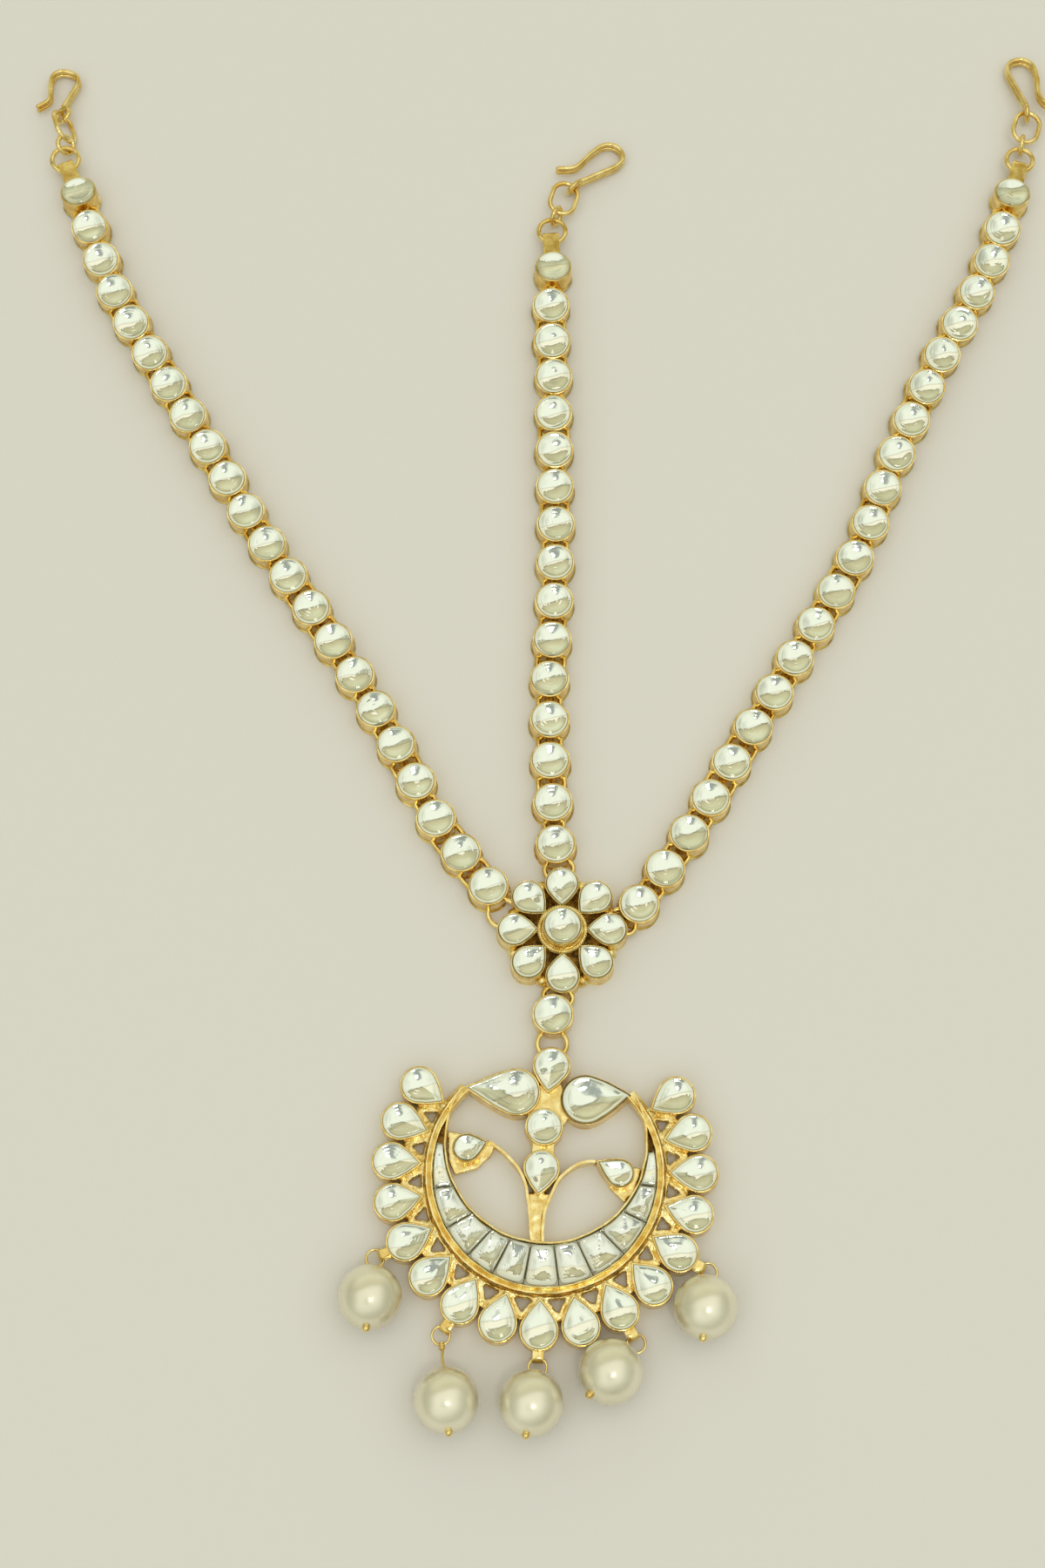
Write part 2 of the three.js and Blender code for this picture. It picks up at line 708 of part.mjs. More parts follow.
// A drop: the wire loop in its bail, the wire into the pearl, and the ball of the pin on the far side
function pearlDrop(drop, index, frameCentre) {
  const bailHeading = pearSeats[drop.pear].direction + pendantTurn;
  const loopCentre = frameCentre.clone().add(polar(loopPass + loopRadius, bailHeading));
  const centre = loopCentre.clone().add(polar(drop.length, drop.heading));
  const loop = new THREE.TorusGeometry(loopRadius, dropWire / 2, wireSides, ringSteps);
  loop.translate(loopCentre.x, loopCentre.y, bailHeight);
  const pearl = new THREE.SphereGeometry(pearlRadius, roundSides, pearlBands);
  pearl.rotateY(Math.PI / roundSides);
  pearl.rotateZ(radians(drop.heading - 90));
  pearl.translate(centre.x, centre.y, pearlRadius);
  const pinDirection = new THREE.Vector3(
    ...polar(Math.cos(radians(pearlPinTilt)), drop.heading).toArray(),
    Math.sin(radians(pearlPinTilt)),
  );
  const middle = new THREE.Vector3(centre.x, centre.y, pearlRadius);
  const ball = new THREE.SphereGeometry(pinBallDiameter / 2, wireSides + 1, 4);
  const ballPlace = middle.clone().addScaledVector(pinDirection, pearlRadius + pinBallDiameter / 4);
  ball.translate(ballPlace.x, ballPlace.y, ballPlace.z);
  const rim = loopCentre.clone().add(polar(loopRadius, drop.heading));
  const inside = middle.clone().addScaledVector(pinDirection, -pearlRadius / 2);
  const wire = new THREE.LineCurve3(new THREE.Vector3(rim.x, rim.y, bailHeight), inside);
  const section = new THREE.Shape(roundOutline(dropWire / 2, wireSides)(0));
  const stem = new THREE.ExtrudeGeometry(section, { steps: 1, bevelEnabled: false, extrudePath: wire });
  return meshOf(joined([loop, pearl, ball, stem]), "pearl_drop_" + (index + 1), pearlMaterial());
}

// The whole jewel
const jewel = new THREE.Group();

const linkPlace = polar(flowerRadius + linkGap + cupRadius, linkLeaves);
const topPear = motifCups[0];
const topPearPlace = linkPlace.clone().add(polar(cupRadius + pendantGap + topPear.radius, pendantLeaves));
const pendantCentre = topPearPlace
  .clone()
  .sub(topPear.place.clone().rotateAround(new THREE.Vector2(), radians(pendantTurn)));

const flowerTunnels = [];
strands.forEach((strand) => {
  const cups = walk(strand);
  const petal = petalSeats[Math.round((strand.petal * petalCount) / 360)];
  const { ring, tunnel } = joiningRing(petal.place, cups[0], petalRadius, cupRadius);
  flowerTunnels.push(tunnel);
  jewel.add(namedMesh(ring, "ring_" + strand.name, goldMaterial()));
  jewel.add(meshOf(strandSolid(strand, cups, tunnel), "strand_" + strand.name, stoneMaterial()));
  const slotReach = cupRadius + tabLength - tabSheet + tabFoldSeat - (tabRingDiameter - ringWire) / 2;
  const chain = endChain(strand, cups[cups.length - 1].clone().add(polar(slotReach, strand.tab)));
  jewel.add(meshOf(chain.solid, "chain_" + strand.name, goldMaterial()));
  jewel.add(meshOf(hookSolid(strand, chain.eyePlace), "hook_" + strand.name, goldMaterial()));
});

const lowestPetal = petalSeats[Math.round((270 * petalCount) / 360)];
const flowerLink = joiningRing(lowestPetal.place, linkPlace, petalRadius, cupRadius);
const pendantLink = joiningRing(linkPlace, topPearPlace, cupRadius, topPear.radius);
flowerTunnels.push(flowerLink.tunnel);
jewel.add(namedMesh(flowerLink.ring, "ring_flower_link", goldMaterial()));
jewel.add(namedMesh(pendantLink.ring, "ring_link_pendant", goldMaterial()));

const flower = new THREE.Group();
flower.add(meshOf(flowerBase(flowerTunnels), "flower_base", goldMaterial()));
[...petalSeats, centreSeat].forEach((seat) => flower.add(seatStone(seat)));
jewel.add(flower);

const linkSeat = {
  name: "link",
  outline: roundOutline(cupRadius, pearPoints),
  place: linkPlace,
  turn: 0,
  height: cupHeight,
};
const linkCup = solidOf(seatCup(linkSeat))
  .subtract(solidOf(seatRecess(linkSeat)))
  .subtract(solidOf(flowerLink.tunnel))
  .subtract(solidOf(pendantLink.tunnel));
jewel.add(meshOf(linkCup, "link_cup", goldMaterial()));
jewel.add(seatStone(linkSeat));

const pendant = new THREE.Group();
pendant.position.set(pendantCentre.x, pendantCentre.y, 0);
pendant.rotation.z = radians(pendantTurn);
const intoPendant = seatMatrix(pendantCentre, pendantTurn).invert();
const pendantTunnel = pendantLink.tunnel.clone().applyMatrix4(intoPendant);
pendant.add(meshOf(pendantFrame(pendantTunnel), "pendant_frame", castGoldMaterial()));
pendant.add(crescentStones());
[...pearSeats, ...motifCups].forEach((seat) => pendant.add(seatStone(seat)));
jewel.add(pendant);

drops.forEach((drop, index) => jewel.add(pearlDrop(drop, index, pendantCentre)));

export default jewel;
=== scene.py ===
import math
import random

import bmesh
import bpy
from mathutils import Matrix, Vector, noise


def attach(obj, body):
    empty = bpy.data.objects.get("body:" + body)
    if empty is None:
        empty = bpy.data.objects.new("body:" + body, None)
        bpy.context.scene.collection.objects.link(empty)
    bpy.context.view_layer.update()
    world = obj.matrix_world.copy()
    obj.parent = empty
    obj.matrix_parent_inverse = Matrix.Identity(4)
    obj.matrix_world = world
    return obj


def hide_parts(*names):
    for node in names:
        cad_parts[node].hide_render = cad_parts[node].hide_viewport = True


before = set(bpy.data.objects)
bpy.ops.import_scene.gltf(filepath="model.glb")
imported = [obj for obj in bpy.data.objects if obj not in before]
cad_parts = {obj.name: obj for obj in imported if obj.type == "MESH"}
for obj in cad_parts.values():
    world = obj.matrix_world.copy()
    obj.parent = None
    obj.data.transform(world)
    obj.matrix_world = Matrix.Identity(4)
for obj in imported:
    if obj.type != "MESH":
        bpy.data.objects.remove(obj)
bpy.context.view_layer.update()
mm = 0.001  # pieces are drawn in millimetres and scaled once, when they are finished
noise.seed_set(1)  # without a seed of its own, noise_vector is different on each run


# camera
shot = {"lens": 50, "sensor": 36, "tilt": 20, "distance": 440, "axis": (-7.86, 30.33, 5)}
tilt = math.radians(shot["tilt"])
camera = bpy.data.objects.new("camera", bpy.data.cameras.new("camera"))
camera.data.lens = shot["lens"]
camera.data.sensor_width = shot["sensor"]
sight = Vector((0, -math.sin(tilt), math.cos(tilt)))
camera.location = (Vector(shot["axis"]) + sight * shot["distance"]) * mm
camera.rotation_euler = (tilt, 0, 0)
camera.data.clip_start = 0.01
bpy.context.scene.collection.objects.link(camera)
bpy.context.scene.camera = camera
bpy.context.scene.view_settings.view_transform = "Standard"
print("camera is set")


# small tools for the plane and for meshes
def polar(distance, degrees):
    return Vector((distance * math.cos(math.radians(degrees)), distance * math.sin(math.radians(degrees))))


def turned(point, degrees):
    return Matrix.Rotation(math.radians(degrees), 2) @ point


def turn(degrees, axis):
    return Matrix.Rotation(math.radians(degrees), 4, axis)


def pointsOf(grown):
    return [item for item in grown if isinstance(item, bmesh.types.BMVert)]


def seatMatrix(place, degrees=0, height=0, lean=0, leanToward=0):
    # lean tips the piece by so many degrees towards a direction, given in degrees from +X
    towards = turn(leanToward, "Z")
    tip = towards @ turn(lean, "Y") @ towards.inverted()
    return Matrix.Translation((place[0], place[1], height)) @ tip @ turn(degrees, "Z")


def stamp(target, part, place=Matrix.Identity(4)):
    # moves a small bmesh to its place and adds it to a larger one; gives back the faces it added
    bmesh.ops.recalc_face_normals(part, faces=part.faces)
    bmesh.ops.transform(part, matrix=place, verts=part.verts)
    holder = bpy.data.meshes.new("holder")
    part.to_mesh(holder)
    part.free()
    known = len(target.faces)
    target.from_mesh(holder)
    bpy.data.meshes.remove(holder)
    target.faces.ensure_lookup_table()
    return target.faces[known:]


def objectOf(name, bm):
    mesh = bpy.data.meshes.new(name)
    bm.to_mesh(mesh)
    bm.free()
    made = bpy.data.objects.new(name, mesh)
    bpy.context.scene.collection.objects.link(made)
    return made


def finishPiece(name, bm, material, node, sharp=38):
    # sharp is the angle between faces, in degrees, past which an edge shows
    bmesh.ops.scale(bm, vec=(mm, mm, mm), verts=bm.verts)
    piece = objectOf(name, bm)
    piece.data.shade_smooth()
    piece.data.set_sharp_from_angle(angle=math.radians(sharp))
    piece.data.materials.append(material)
    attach(piece, "root")
    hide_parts(node)


def outlineDisc(bm, radius, reach=0, segments=40):
    # a disc, or a pear whose bulb is at the origin and whose point lies at reach on +X
    verts = bmesh.ops.create_circle(bm, cap_ends=True, segments=segments, radius=radius)["verts"]
    if reach:
        tangent = math.acos(radius / reach)
        for vert in verts:
            angle = abs(math.atan2(vert.co.y, vert.co.x))
            if angle < tangent:
                fuller = 1 + 0.045 * math.sin(math.pi * angle / tangent)
                vert.co *= fuller / math.cos(tangent - angle)
    return verts[0].link_faces[0]


def raiseLevels(bm, face, levels):
    # each level is the share of the outline and its height
    share, height = levels[0]
    bmesh.ops.scale(bm, vec=(share, share, 1), verts=face.verts)
    bmesh.ops.translate(bm, vec=(0, 0, height), verts=face.verts)
    for newShare, newHeight in levels[1:]:
        grown = bmesh.ops.extrude_face_region(bm, geom=[face])["geom"]
        face = next(item for item in grown if isinstance(item, bmesh.types.BMFace))
        bmesh.ops.scale(bm, vec=(newShare / share, newShare / share, 1), verts=face.verts)
        bmesh.ops.translate(bm, vec=(0, 0, newHeight - height), verts=face.verts)
        share, height = newShare, newHeight
    return face


def smoothLine(points, count):
    # centripetal curve through the points, sampled evenly by its own length
    points = [Vector((*point, 0)) if len(point) == 2 else Vector(point) for point in points]
    last = len(points) - 1
    before = [points[0] * 2 - points[1], *points[:-1]]
    after = [*points[2:], points[last] * 2 - points[last - 1]]

    def at(t):
        index = min(int(t * last), last - 1)
        w = t * last - index
        p0, p1, p2, p3 = before[index], points[index], points[index + 1], after[index]
        d0, d1, d2 = ((b - a).length ** 0.5 for a, b in ((p0, p1), (p1, p2), (p2, p3)))
        m1 = ((p1 - p0) / d0 - (p2 - p0) / (d0 + d1) + (p2 - p1) / d1) * d1
        m2 = ((p2 - p1) / d1 - (p3 - p1) / (d1 + d2) + (p3 - p2) / d2) * d1
        return p1 + m1 * w + (p2 * 3 - p1 * 3 - m1 * 2 - m2) * w * w + (p1 * 2 - p2 * 2 + m1 + m2) * w ** 3

    fine = [at(i / 200) for i in range(201)]
    lengths = [0]
    for a, b in zip(fine, fine[1:]):
        lengths.append(lengths[-1] + (b - a).length)

    def atLength(wanted):
        if wanted >= lengths[-1]:
            return fine[-1] + (fine[-1] - fine[-2]).normalized() * (wanted - lengths[-1])
        index = next(i for i in range(200) if lengths[i + 1] > wanted)
        share = (wanted - lengths[index]) / (lengths[index + 1] - lengths[index])
        return at((index + share) / 200)

    if count is None:
        return atLength
    return [atLength(lengths[-1] * i / (count - 1)) for i in range(count)]


def addWire(bm, points, radius, closed=False, roundness=3):
    # a round wire along a line of points
    curve = bpy.data.curves.new("wire", "CURVE")
    curve.dimensions = "3D"
    curve.bevel_depth = radius
    curve.bevel_resolution = roundness
    curve.use_fill_caps = True
    spline = curve.splines.new("POLY")
    spline.points.add(len(points) - 1)
    for spot, point in zip(spline.points, points):
        spot.co = (*point, 1)
    spline.use_cyclic_u = closed
    holder = bpy.data.objects.new("wire", curve)
    mesh = bpy.data.meshes.new_from_object(holder)
    bm.from_mesh(mesh)
    bpy.data.objects.remove(holder)
    bpy.data.curves.remove(curve)
    bpy.data.meshes.remove(mesh)


def wireRing(width, length, wire, steps=36, sides=10):
    # a ring of round wire, its length along X, with straight sides along the longer way
    narrow, stretch = min(width, length), abs(length - width) / 2
    bm = bmesh.new()
    section = bmesh.ops.create_circle(bm, segments=sides, radius=wire / 2)["verts"]
    bmesh.ops.rotate(bm, verts=section, cent=(0, 0, 0), matrix=Matrix.Rotation(math.pi / 2, 3, "X"))
    bmesh.ops.translate(bm, verts=section, vec=((narrow - wire) / 2, 0, 0))
    bmesh.ops.spin(
        bm, geom=bm.verts[:] + bm.edges[:], cent=(0, 0, 0), axis=(0, 0, 1), angle=2 * math.pi,
        steps=steps, use_merge=True, use_duplicate=False,
    )
    for vert in bm.verts:
        if abs(vert.co.x) > 1e-3:
            vert.co.x += math.copysign(stretch, vert.co.x)
    if length < width:
        bmesh.ops.rotate(bm, verts=bm.verts, cent=(0, 0, 0), matrix=Matrix.Rotation(math.pi / 2, 3, "Z"))
    return bm


def ball(radius, segments, rings):
    bm = bmesh.new()
    bmesh.ops.create_uvsphere(bm, u_segments=segments, v_segments=rings, radius=radius)
    return bm


# materials
def addNode(tree, kind, **settings):
    node = tree.nodes.new("ShaderNode" + kind)
    for key, value in settings.items():
        setattr(node, key, value)
    return node


def mathNode(tree, operation, first, second=None):
    node = addNode(tree, "Math", operation=operation)
    for socket, value in zip(node.inputs, (first, second)):
        if isinstance(value, (int, float)):
            socket.default_value = value
        elif value is not None:
            tree.links.new(value, socket)
    return node.outputs[0]


def rangeNode(tree, value, low, high, outLow=0, outHigh=1):
    node = addNode(tree, "MapRange", interpolation_type="SMOOTHSTEP")
    tree.links.new(value, node.inputs[0])
    for socket, number in zip(node.inputs[1:5], (low, high, outLow, outHigh)):
        socket.default_value = number
    return node.outputs[0]


def mixColour(tree, factor, first, second):
    node = addNode(tree, "Mix", data_type="RGBA")
    for socket, value in zip((node.inputs[0], node.inputs[6], node.inputs[7]), (factor, first, second)):
        if isinstance(value, (int, float)):
            socket.default_value = value
        elif isinstance(value, tuple):
            socket.default_value = (*value, 1)
        else:
            tree.links.new(value, socket)
    return node.outputs[2]


def grainGroup():
    # soft lumps and fine grain of metal, from the piece's own coordinates
    group = bpy.data.node_groups.new("metalGrain", "ShaderNodeTree")
    layers = {"Lumps": "Lump Scale", "Grain": "Grain Scale"}
    for label, scale in layers.items():
        group.interface.new_socket(name=scale, in_out="INPUT", socket_type="NodeSocketFloat")
        group.interface.new_socket(name=label, in_out="OUTPUT", socket_type="NodeSocketFloat")
    start, end = group.nodes.new("NodeGroupInput"), group.nodes.new("NodeGroupOutput")
    where = addNode(group, "TexCoord").outputs["Object"]
    for label, scale in layers.items():
        texture = addNode(group, "TexNoise")
        texture.inputs["Detail"].default_value = 3
        group.links.new(where, texture.inputs["Vector"])
        group.links.new(start.outputs[scale], texture.inputs["Scale"])
        group.links.new(texture.outputs["Fac"], end.inputs[label])
    return group


def principled(name, **values):
    material = bpy.data.materials.new(name)
    material.use_nodes = True
    shader = material.node_tree.nodes["Principled BSDF"]
    for key, value in values.items():
        shader.inputs[key].default_value = (*value, 1) if isinstance(value, tuple) else value
    return material, material.node_tree, shader


metalGrain = grainGroup()


def goldMaterial(name, look):
    material, tree, shader = principled(name, Metallic=1.0)
    grain = tree.nodes.new("ShaderNodeGroup")
    grain.node_tree = metalGrain
    grain.inputs["Lump Scale"].default_value = look["lumpScale"]
    grain.inputs["Grain Scale"].default_value = look["grainScale"]
    lumps, fine = grain.outputs["Lumps"], grain.outputs["Grain"]
    tone = rangeNode(tree, lumps, 0.3, 0.7)
    tree.links.new(mixColour(tree, tone, look["deep"], look["bright"]), shader.inputs["Base Color"])
    tree.links.new(rangeNode(tree, fine, 0.3, 0.7, *look["roughness"]), shader.inputs["Roughness"])
    height = mathNode(tree, "ADD", mathNode(tree, "MULTIPLY", lumps, look["lumpShare"]),
                      mathNode(tree, "MULTIPLY", fine, 1 - look["lumpShare"]))
    bump = addNode(tree, "Bump")
    bump.inputs["Strength"].default_value = look["bump"]
    bump.inputs["Distance"].default_value = look["relief"] * mm
    tree.links.new(height, bump.inputs["Height"])
    tree.links.new(bump.outputs["Normal"], shader.inputs["Normal"])
    return material


goldLooks = {
    "polishedGold": {
        "deep": (0.70, 0.46, 0.11), "bright": (1.0, 0.80, 0.34), "roughness": (0.10, 0.22),
        "lumpScale": 500, "grainScale": 2600, "lumpShare": 0.8, "bump": 0.45, "relief": 0.14,
    },
    "castGold": {
        "deep": (0.78, 0.55, 0.17), "bright": (1.0, 0.85, 0.42), "roughness": (0.18, 0.32),
        "lumpScale": 600, "grainScale": 4200, "lumpShare": 0.75, "bump": 0.45, "relief": 0.2,
    },
    "wireGold": {
        "deep": (0.78, 0.53, 0.15), "bright": (1.0, 0.82, 0.37), "roughness": (0.08, 0.16),
        "lumpScale": 300, "grainScale": 2000, "lumpShare": 0.7, "bump": 0.2, "relief": 0.08,
    },
    # painted shade: nearly black gold for the plates deep in the recesses, partly patina and partly the shade
    # that falls there
    "shadedRecessGold": {
        "deep": (0.05, 0.025, 0.006), "bright": (0.30, 0.17, 0.04), "roughness": (0.32, 0.5),
        "lumpScale": 700, "grainScale": 3600, "lumpShare": 0.6, "bump": 0.7, "relief": 0.25,
    },
}
gold = {name: goldMaterial(name, look) for name, look in goldLooks.items()}


def foilMaterial(name, look):
    # silver foil dished under clear glass: the base bends like the foil, the coat like the glass
    material, tree, shader = principled(
        name, **{"Metallic": look["metallic"], "Coat Weight": 1.0, "Coat Roughness": 0.02, "Coat IOR": 1.5}
    )
    where = addNode(tree, "TexCoord").outputs["Object"]
    face, shape = addNode(tree, "SeparateXYZ"), addNode(tree, "SeparateXYZ")
    for target, layer in ((face, "stoneFace"), (shape, "stoneShape")):
        tree.links.new(addNode(tree, "UVMap", uv_map=layer).outputs["UV"], target.inputs[0])
    across, along = face.outputs[0], face.outputs[1]
    toEdge, size = shape.outputs[0], shape.outputs[1]
    waves = []
    for scale, detail in ((look["waveScale"], 1.5), (look["rippleScale"], 2.5)):
        wave = addNode(tree, "TexNoise")
        wave.inputs["Scale"].default_value = scale
        wave.inputs["Detail"].default_value = detail
        tree.links.new(where, wave.inputs["Vector"])
        waves.append(mathNode(tree, "SUBTRACT", wave.outputs["Fac"], 0.5))
    waver, ripple = waves
    # painted reflection: the base colour is warmer below a wavering dark line, where the light tent's seam
    # and the room beyond it would reflect; painted shade makes it darker and cooler at the rim
    level = mathNode(tree, "ADD", along, mathNode(tree, "MULTIPLY", waver, look["seamReflectionWander"]))
    level = mathNode(tree, "SUBTRACT", level, mathNode(tree, "MULTIPLY", across, look["seamReflectionSlope"]))
    below = rangeNode(tree, level, look["seamReflection"] - 0.04, look["seamReflection"] + 0.04, 1, 0)
    depth = rangeNode(tree, level, look["seamReflection"], -0.9, 0, 1)
    colour = mixColour(tree, below, look["bright"], mixColour(tree, depth, look["warm"], look["pale"]))
    distance = mathNode(tree, "ABSOLUTE", mathNode(tree, "SUBTRACT", level, look["seamReflection"]))
    seamReflection = rangeNode(tree, distance, 0.01, 0.07, look["seamReflectionDepth"], 0)
    colour = mixColour(tree, seamReflection, colour, look["dark"])
    # painted shade: the colour darkens towards the stone's rim
    rim = rangeNode(tree, toEdge, look["rimStart"], 1.0, 0, look["rimShare"])
    colour = mixColour(tree, rim, colour, look["rim"])
    # painted shade: a dark line just inside the stone's edge
    edgeLine = rangeNode(tree, toEdge, look["lineStart"], look["lineStart"] + 0.05, 0, look["lineShare"])
    colour = mixColour(tree, edgeLine, colour, look["line"])
    tree.links.new(colour, shader.inputs["Base Color"])
    tree.links.new(rangeNode(tree, waver, -0.2, 0.2, *look["roughness"]), shader.inputs["Roughness"])
    dish = mathNode(tree, "MULTIPLY", mathNode(tree, "MULTIPLY", toEdge, toEdge),
                    mathNode(tree, "MULTIPLY", size, look["dish"]))
    dish = mathNode(tree, "ADD", dish, mathNode(tree, "MULTIPLY", waver, look["waver"]))
    dish = mathNode(tree, "ADD", dish, mathNode(tree, "MULTIPLY", ripple, look["ripple"]))
    bump = addNode(tree, "Bump")
    bump.inputs["Distance"].default_value = mm
    tree.links.new(dish, bump.inputs["Height"])
    tree.links.new(bump.outputs["Normal"], shader.inputs["Normal"])
    return material


# the foil colours are painted reflection of the light tent, its seam and the warmer room beyond, with painted
# shade at the rim and along the edge
foilLooks = {
    "foilStone": {
        "metallic": 0.93, "waveScale": 170, "rippleScale": 620, "roughness": (0.05, 0.10),
        "dish": 4.2, "waver": 0.55, "ripple": 0.02,
        "seamReflection": -0.12, "seamReflectionWander": 0.5, "seamReflectionSlope": 0.25, "seamReflectionDepth": 0.3,
        "rimStart": 0.6, "rimShare": 0.6, "lineStart": 0.92, "lineShare": 0.75,
        "bright": (0.88, 0.92, 0.80), "warm": (0.93, 0.90, 0.72), "pale": (0.90, 0.94, 0.78),
        "dark": (0.30, 0.29, 0.18), "rim": (0.56, 0.55, 0.37), "line": (0.30, 0.24, 0.10),
    },
    "channelStone": {
        "metallic": 0.88, "waveScale": 300, "rippleScale": 800, "roughness": (0.04, 0.14),
        "dish": 4.0, "waver": 0.36, "ripple": 0.02,
        "seamReflection": -0.2, "seamReflectionWander": 0.9, "seamReflectionSlope": 0.15, "seamReflectionDepth": 0.25,
        "rimStart": 0.5, "rimShare": 0.7, "lineStart": 0.92, "lineShare": 0.65,
        "bright": (0.88, 0.90, 0.80), "warm": (0.90, 0.86, 0.66), "pale": (0.88, 0.89, 0.74),
        "dark": (0.32, 0.28, 0.18), "rim": (0.45, 0.45, 0.32), "line": (0.20, 0.17, 0.09),
    },
}
foil = {name: foilMaterial(name, look) for name, look in foilLooks.items()}


def pearlMaterial(look):
    # coated pearl: satin lustre over a warm body, under a thin clear skin
    material, tree, shader = principled("champagnePearl", **look["shader"])
    where = addNode(tree, "TexCoord").outputs["Object"]
    cloud = addNode(tree, "TexNoise")
    cloud.inputs["Scale"].default_value = look["cloudScale"]
    cloud.inputs["Detail"].default_value = 2
    tree.links.new(where, cloud.inputs["Vector"])
    mist = cloud.outputs["Fac"]
    tone = rangeNode(tree, mist, 0.35, 0.65)
    # painted shade: the base colour is darker towards the side that lies on the floor
    level = addNode(tree, "SeparateXYZ")
    tree.links.new(where, level.inputs[0])
    shade = rangeNode(tree, level.outputs[2], look["shadeTo"], look["shadeFrom"], look["shadeShare"], 0)
    colour = mixColour(tree, shade, mixColour(tree, tone, look["deep"], look["bright"]), look["shade"])
    tree.links.new(colour, shader.inputs["Base Color"])
    tree.links.new(rangeNode(tree, mist, 0.3, 0.7, *look["roughness"]), shader.inputs["Roughness"])
    return material


pearlLook = {
    "shader": {"Metallic": 0.5, "Coat Weight": 1.0, "Coat Roughness": 0.18, "Coat IOR": 1.6},
    "deep": (0.86, 0.81, 0.62), "bright": (0.93, 0.88, 0.70), "roughness": (0.27, 0.33), "cloudScale": 90,
    "shade": (0.56, 0.46, 0.25), "shadeFrom": 0.0098, "shadeTo": 0.0045, "shadeShare": 0.85,
}
pearlCoat = pearlMaterial(pearlLook)
print("materials are made")


# stone cups
cup = {
    "wall": 0.3, "footHeight": 0.3, "seat": 0.8,
    "stoneRise": 0.9, "stoneSink": 0.1, "wobble": 0.03, "steps": 48,
}
domeProfile = [(1, -0.4), (1, 0), (0.985, 0.22), (0.945, 0.44), (0.87, 0.63), (0.76, 0.78), (0.6, 0.89),
               (0.42, 0.955), (0.22, 0.99), (0.05, 1.0)]


def cupMetal(radius, reach, height, foot, low=0):
    # straight wall on a foot that stands out by so much, rolled lip, and the seat that the stone hides
    bm = bmesh.new()
    face = outlineDisc(bm, radius, reach, cup["steps"])
    footHeight = cup["footHeight"]
    raiseLevels(bm, face, [(edge / radius, z) for edge, z in (
        (radius + foot, low),
        (radius + foot, low + footHeight * 0.7),
        (radius + foot * 0.6, low + footHeight),
        (radius, low + footHeight * 1.4),
        (radius - 0.03, height - 0.8),
        (radius - 0.02, height - 0.3),
        (radius - 0.05, height - 0.1),
        (radius - 0.12, height),
        (radius - cup["wall"] + 0.06, height + 0.02),
        (radius - cup["wall"], height - 0.04),
        (radius - cup["wall"] - 0.02, height - cup["seat"]),
    )])
    return bm


domeShares = [share for share, rise in domeProfile for i in range(cup["steps"])]


def cupStone(radius, reach, height, seed, rise=None):
    # a smooth cabochon with a slightly wavering top
    rise = cup["stoneRise"] if rise is None else rise
    bm = bmesh.new()
    face = outlineDisc(bm, radius - cup["wall"], reach * (1 - cup["wall"] / radius), cup["steps"])
    raiseLevels(bm, face, [(share, height - cup["stoneSink"] + rise * z) for share, z in domeProfile])
    for vert in bm.verts:
        if vert.co.z > height:
            vert.co.z += noise.noise(vert.co * 0.45 + Vector((seed * 3.7, seed, 0))) * cup["wobble"] * 2
    return bm


def mapStone(bm, faces, shares):
    # stoneFace runs from -1 to 1 across and up
    # stoneShape holds the share of the way to the edge, and the half width in centimetres
    face, shape = (bm.loops.layers.uv[name] for name in ("stoneFace", "stoneShape"))
    bm.verts.ensure_lookup_table()
    toEdge = dict(zip(bm.verts[-len(shares):], shares))
    xs = [vert.co.x for vert in toEdge]
    ys = [vert.co.y for vert in toEdge]
    middle = Vector(((min(xs) + max(xs)) / 2, (min(ys) + max(ys)) / 2))
    half = max(max(xs) - min(xs), max(ys) - min(ys)) / 2
    narrow = min(max(xs) - min(xs), max(ys) - min(ys)) / 2
    for loop in (loop for item in faces for loop in item.loops):
        loop[face].uv = ((loop.vert.co.x - middle.x) / half, (loop.vert.co.y - middle.y) / half)
        loop[shape].uv = (toEdge[loop.vert], narrow / 10)


def newStones():
    bm = bmesh.new()
    for name in ("stoneFace", "stoneShape"):
        bm.loops.layers.uv.new(name)
    return bm


def addStone(stones, place, *shape, **options):
    mapStone(stones, stamp(stones, cupStone(*shape, **options), place), domeShares)


def finishStone(name, node, place, *shape, **options):
    stones = newStones()
    addStone(stones, place, *shape, **options)
    finishPiece(name, stones, foil["foilStone"], node)


# joining rings
ringLook = {"width": 6.9, "wire": 1.1, "height": 1.4, "grip": 2, "chainWidth": 6.5, "chainGrip": 4.1}


def joiningRing(start, end, startRadius, endRadius, width=None, grip=None):
    width = width or ringLook["width"]
    grip = grip or ringLook["grip"]
    span = end - start
    gap = span.length - startRadius - endRadius
    middle = start + span * ((startRadius + gap / 2) / span.length)
    heading = math.degrees(math.atan2(span.y, span.x))
    return wireRing(width, gap + 2 * grip, ringLook["wire"]), seatMatrix(middle, heading, ringLook["height"])


def finishRing(name, *ends):
    bm = bmesh.new()
    stamp(bm, *joiningRing(*ends))
    finishPiece("joining_ring_" + name, bm, gold["wireGold"], "ring_" + name)


# the sizes of the jewel, in millimetres and degrees
sizes = {
    "cupRadius": 4.1, "cupHeight": 4.3, "cupGap": 0.75, "petalRadius": 3.45, "petalReach": 4.9,
    "petalGap": 0.37, "petalHeight": 4.4, "centreRadius": 3.95, "centreHeight": 7.2,
    "linkLeaves": -96.4, "linkGap": 0.15, "pendantLeaves": -91.7, "pendantGap": 2.4, "pendantTurn": -2.3,
}
petalCircle = (sizes["petalRadius"] * 2 + sizes["petalGap"]) / (2 * math.sin(math.pi / 8))
flowerRadius = petalCircle + sizes["petalRadius"]
cupRadius = sizes["cupRadius"]

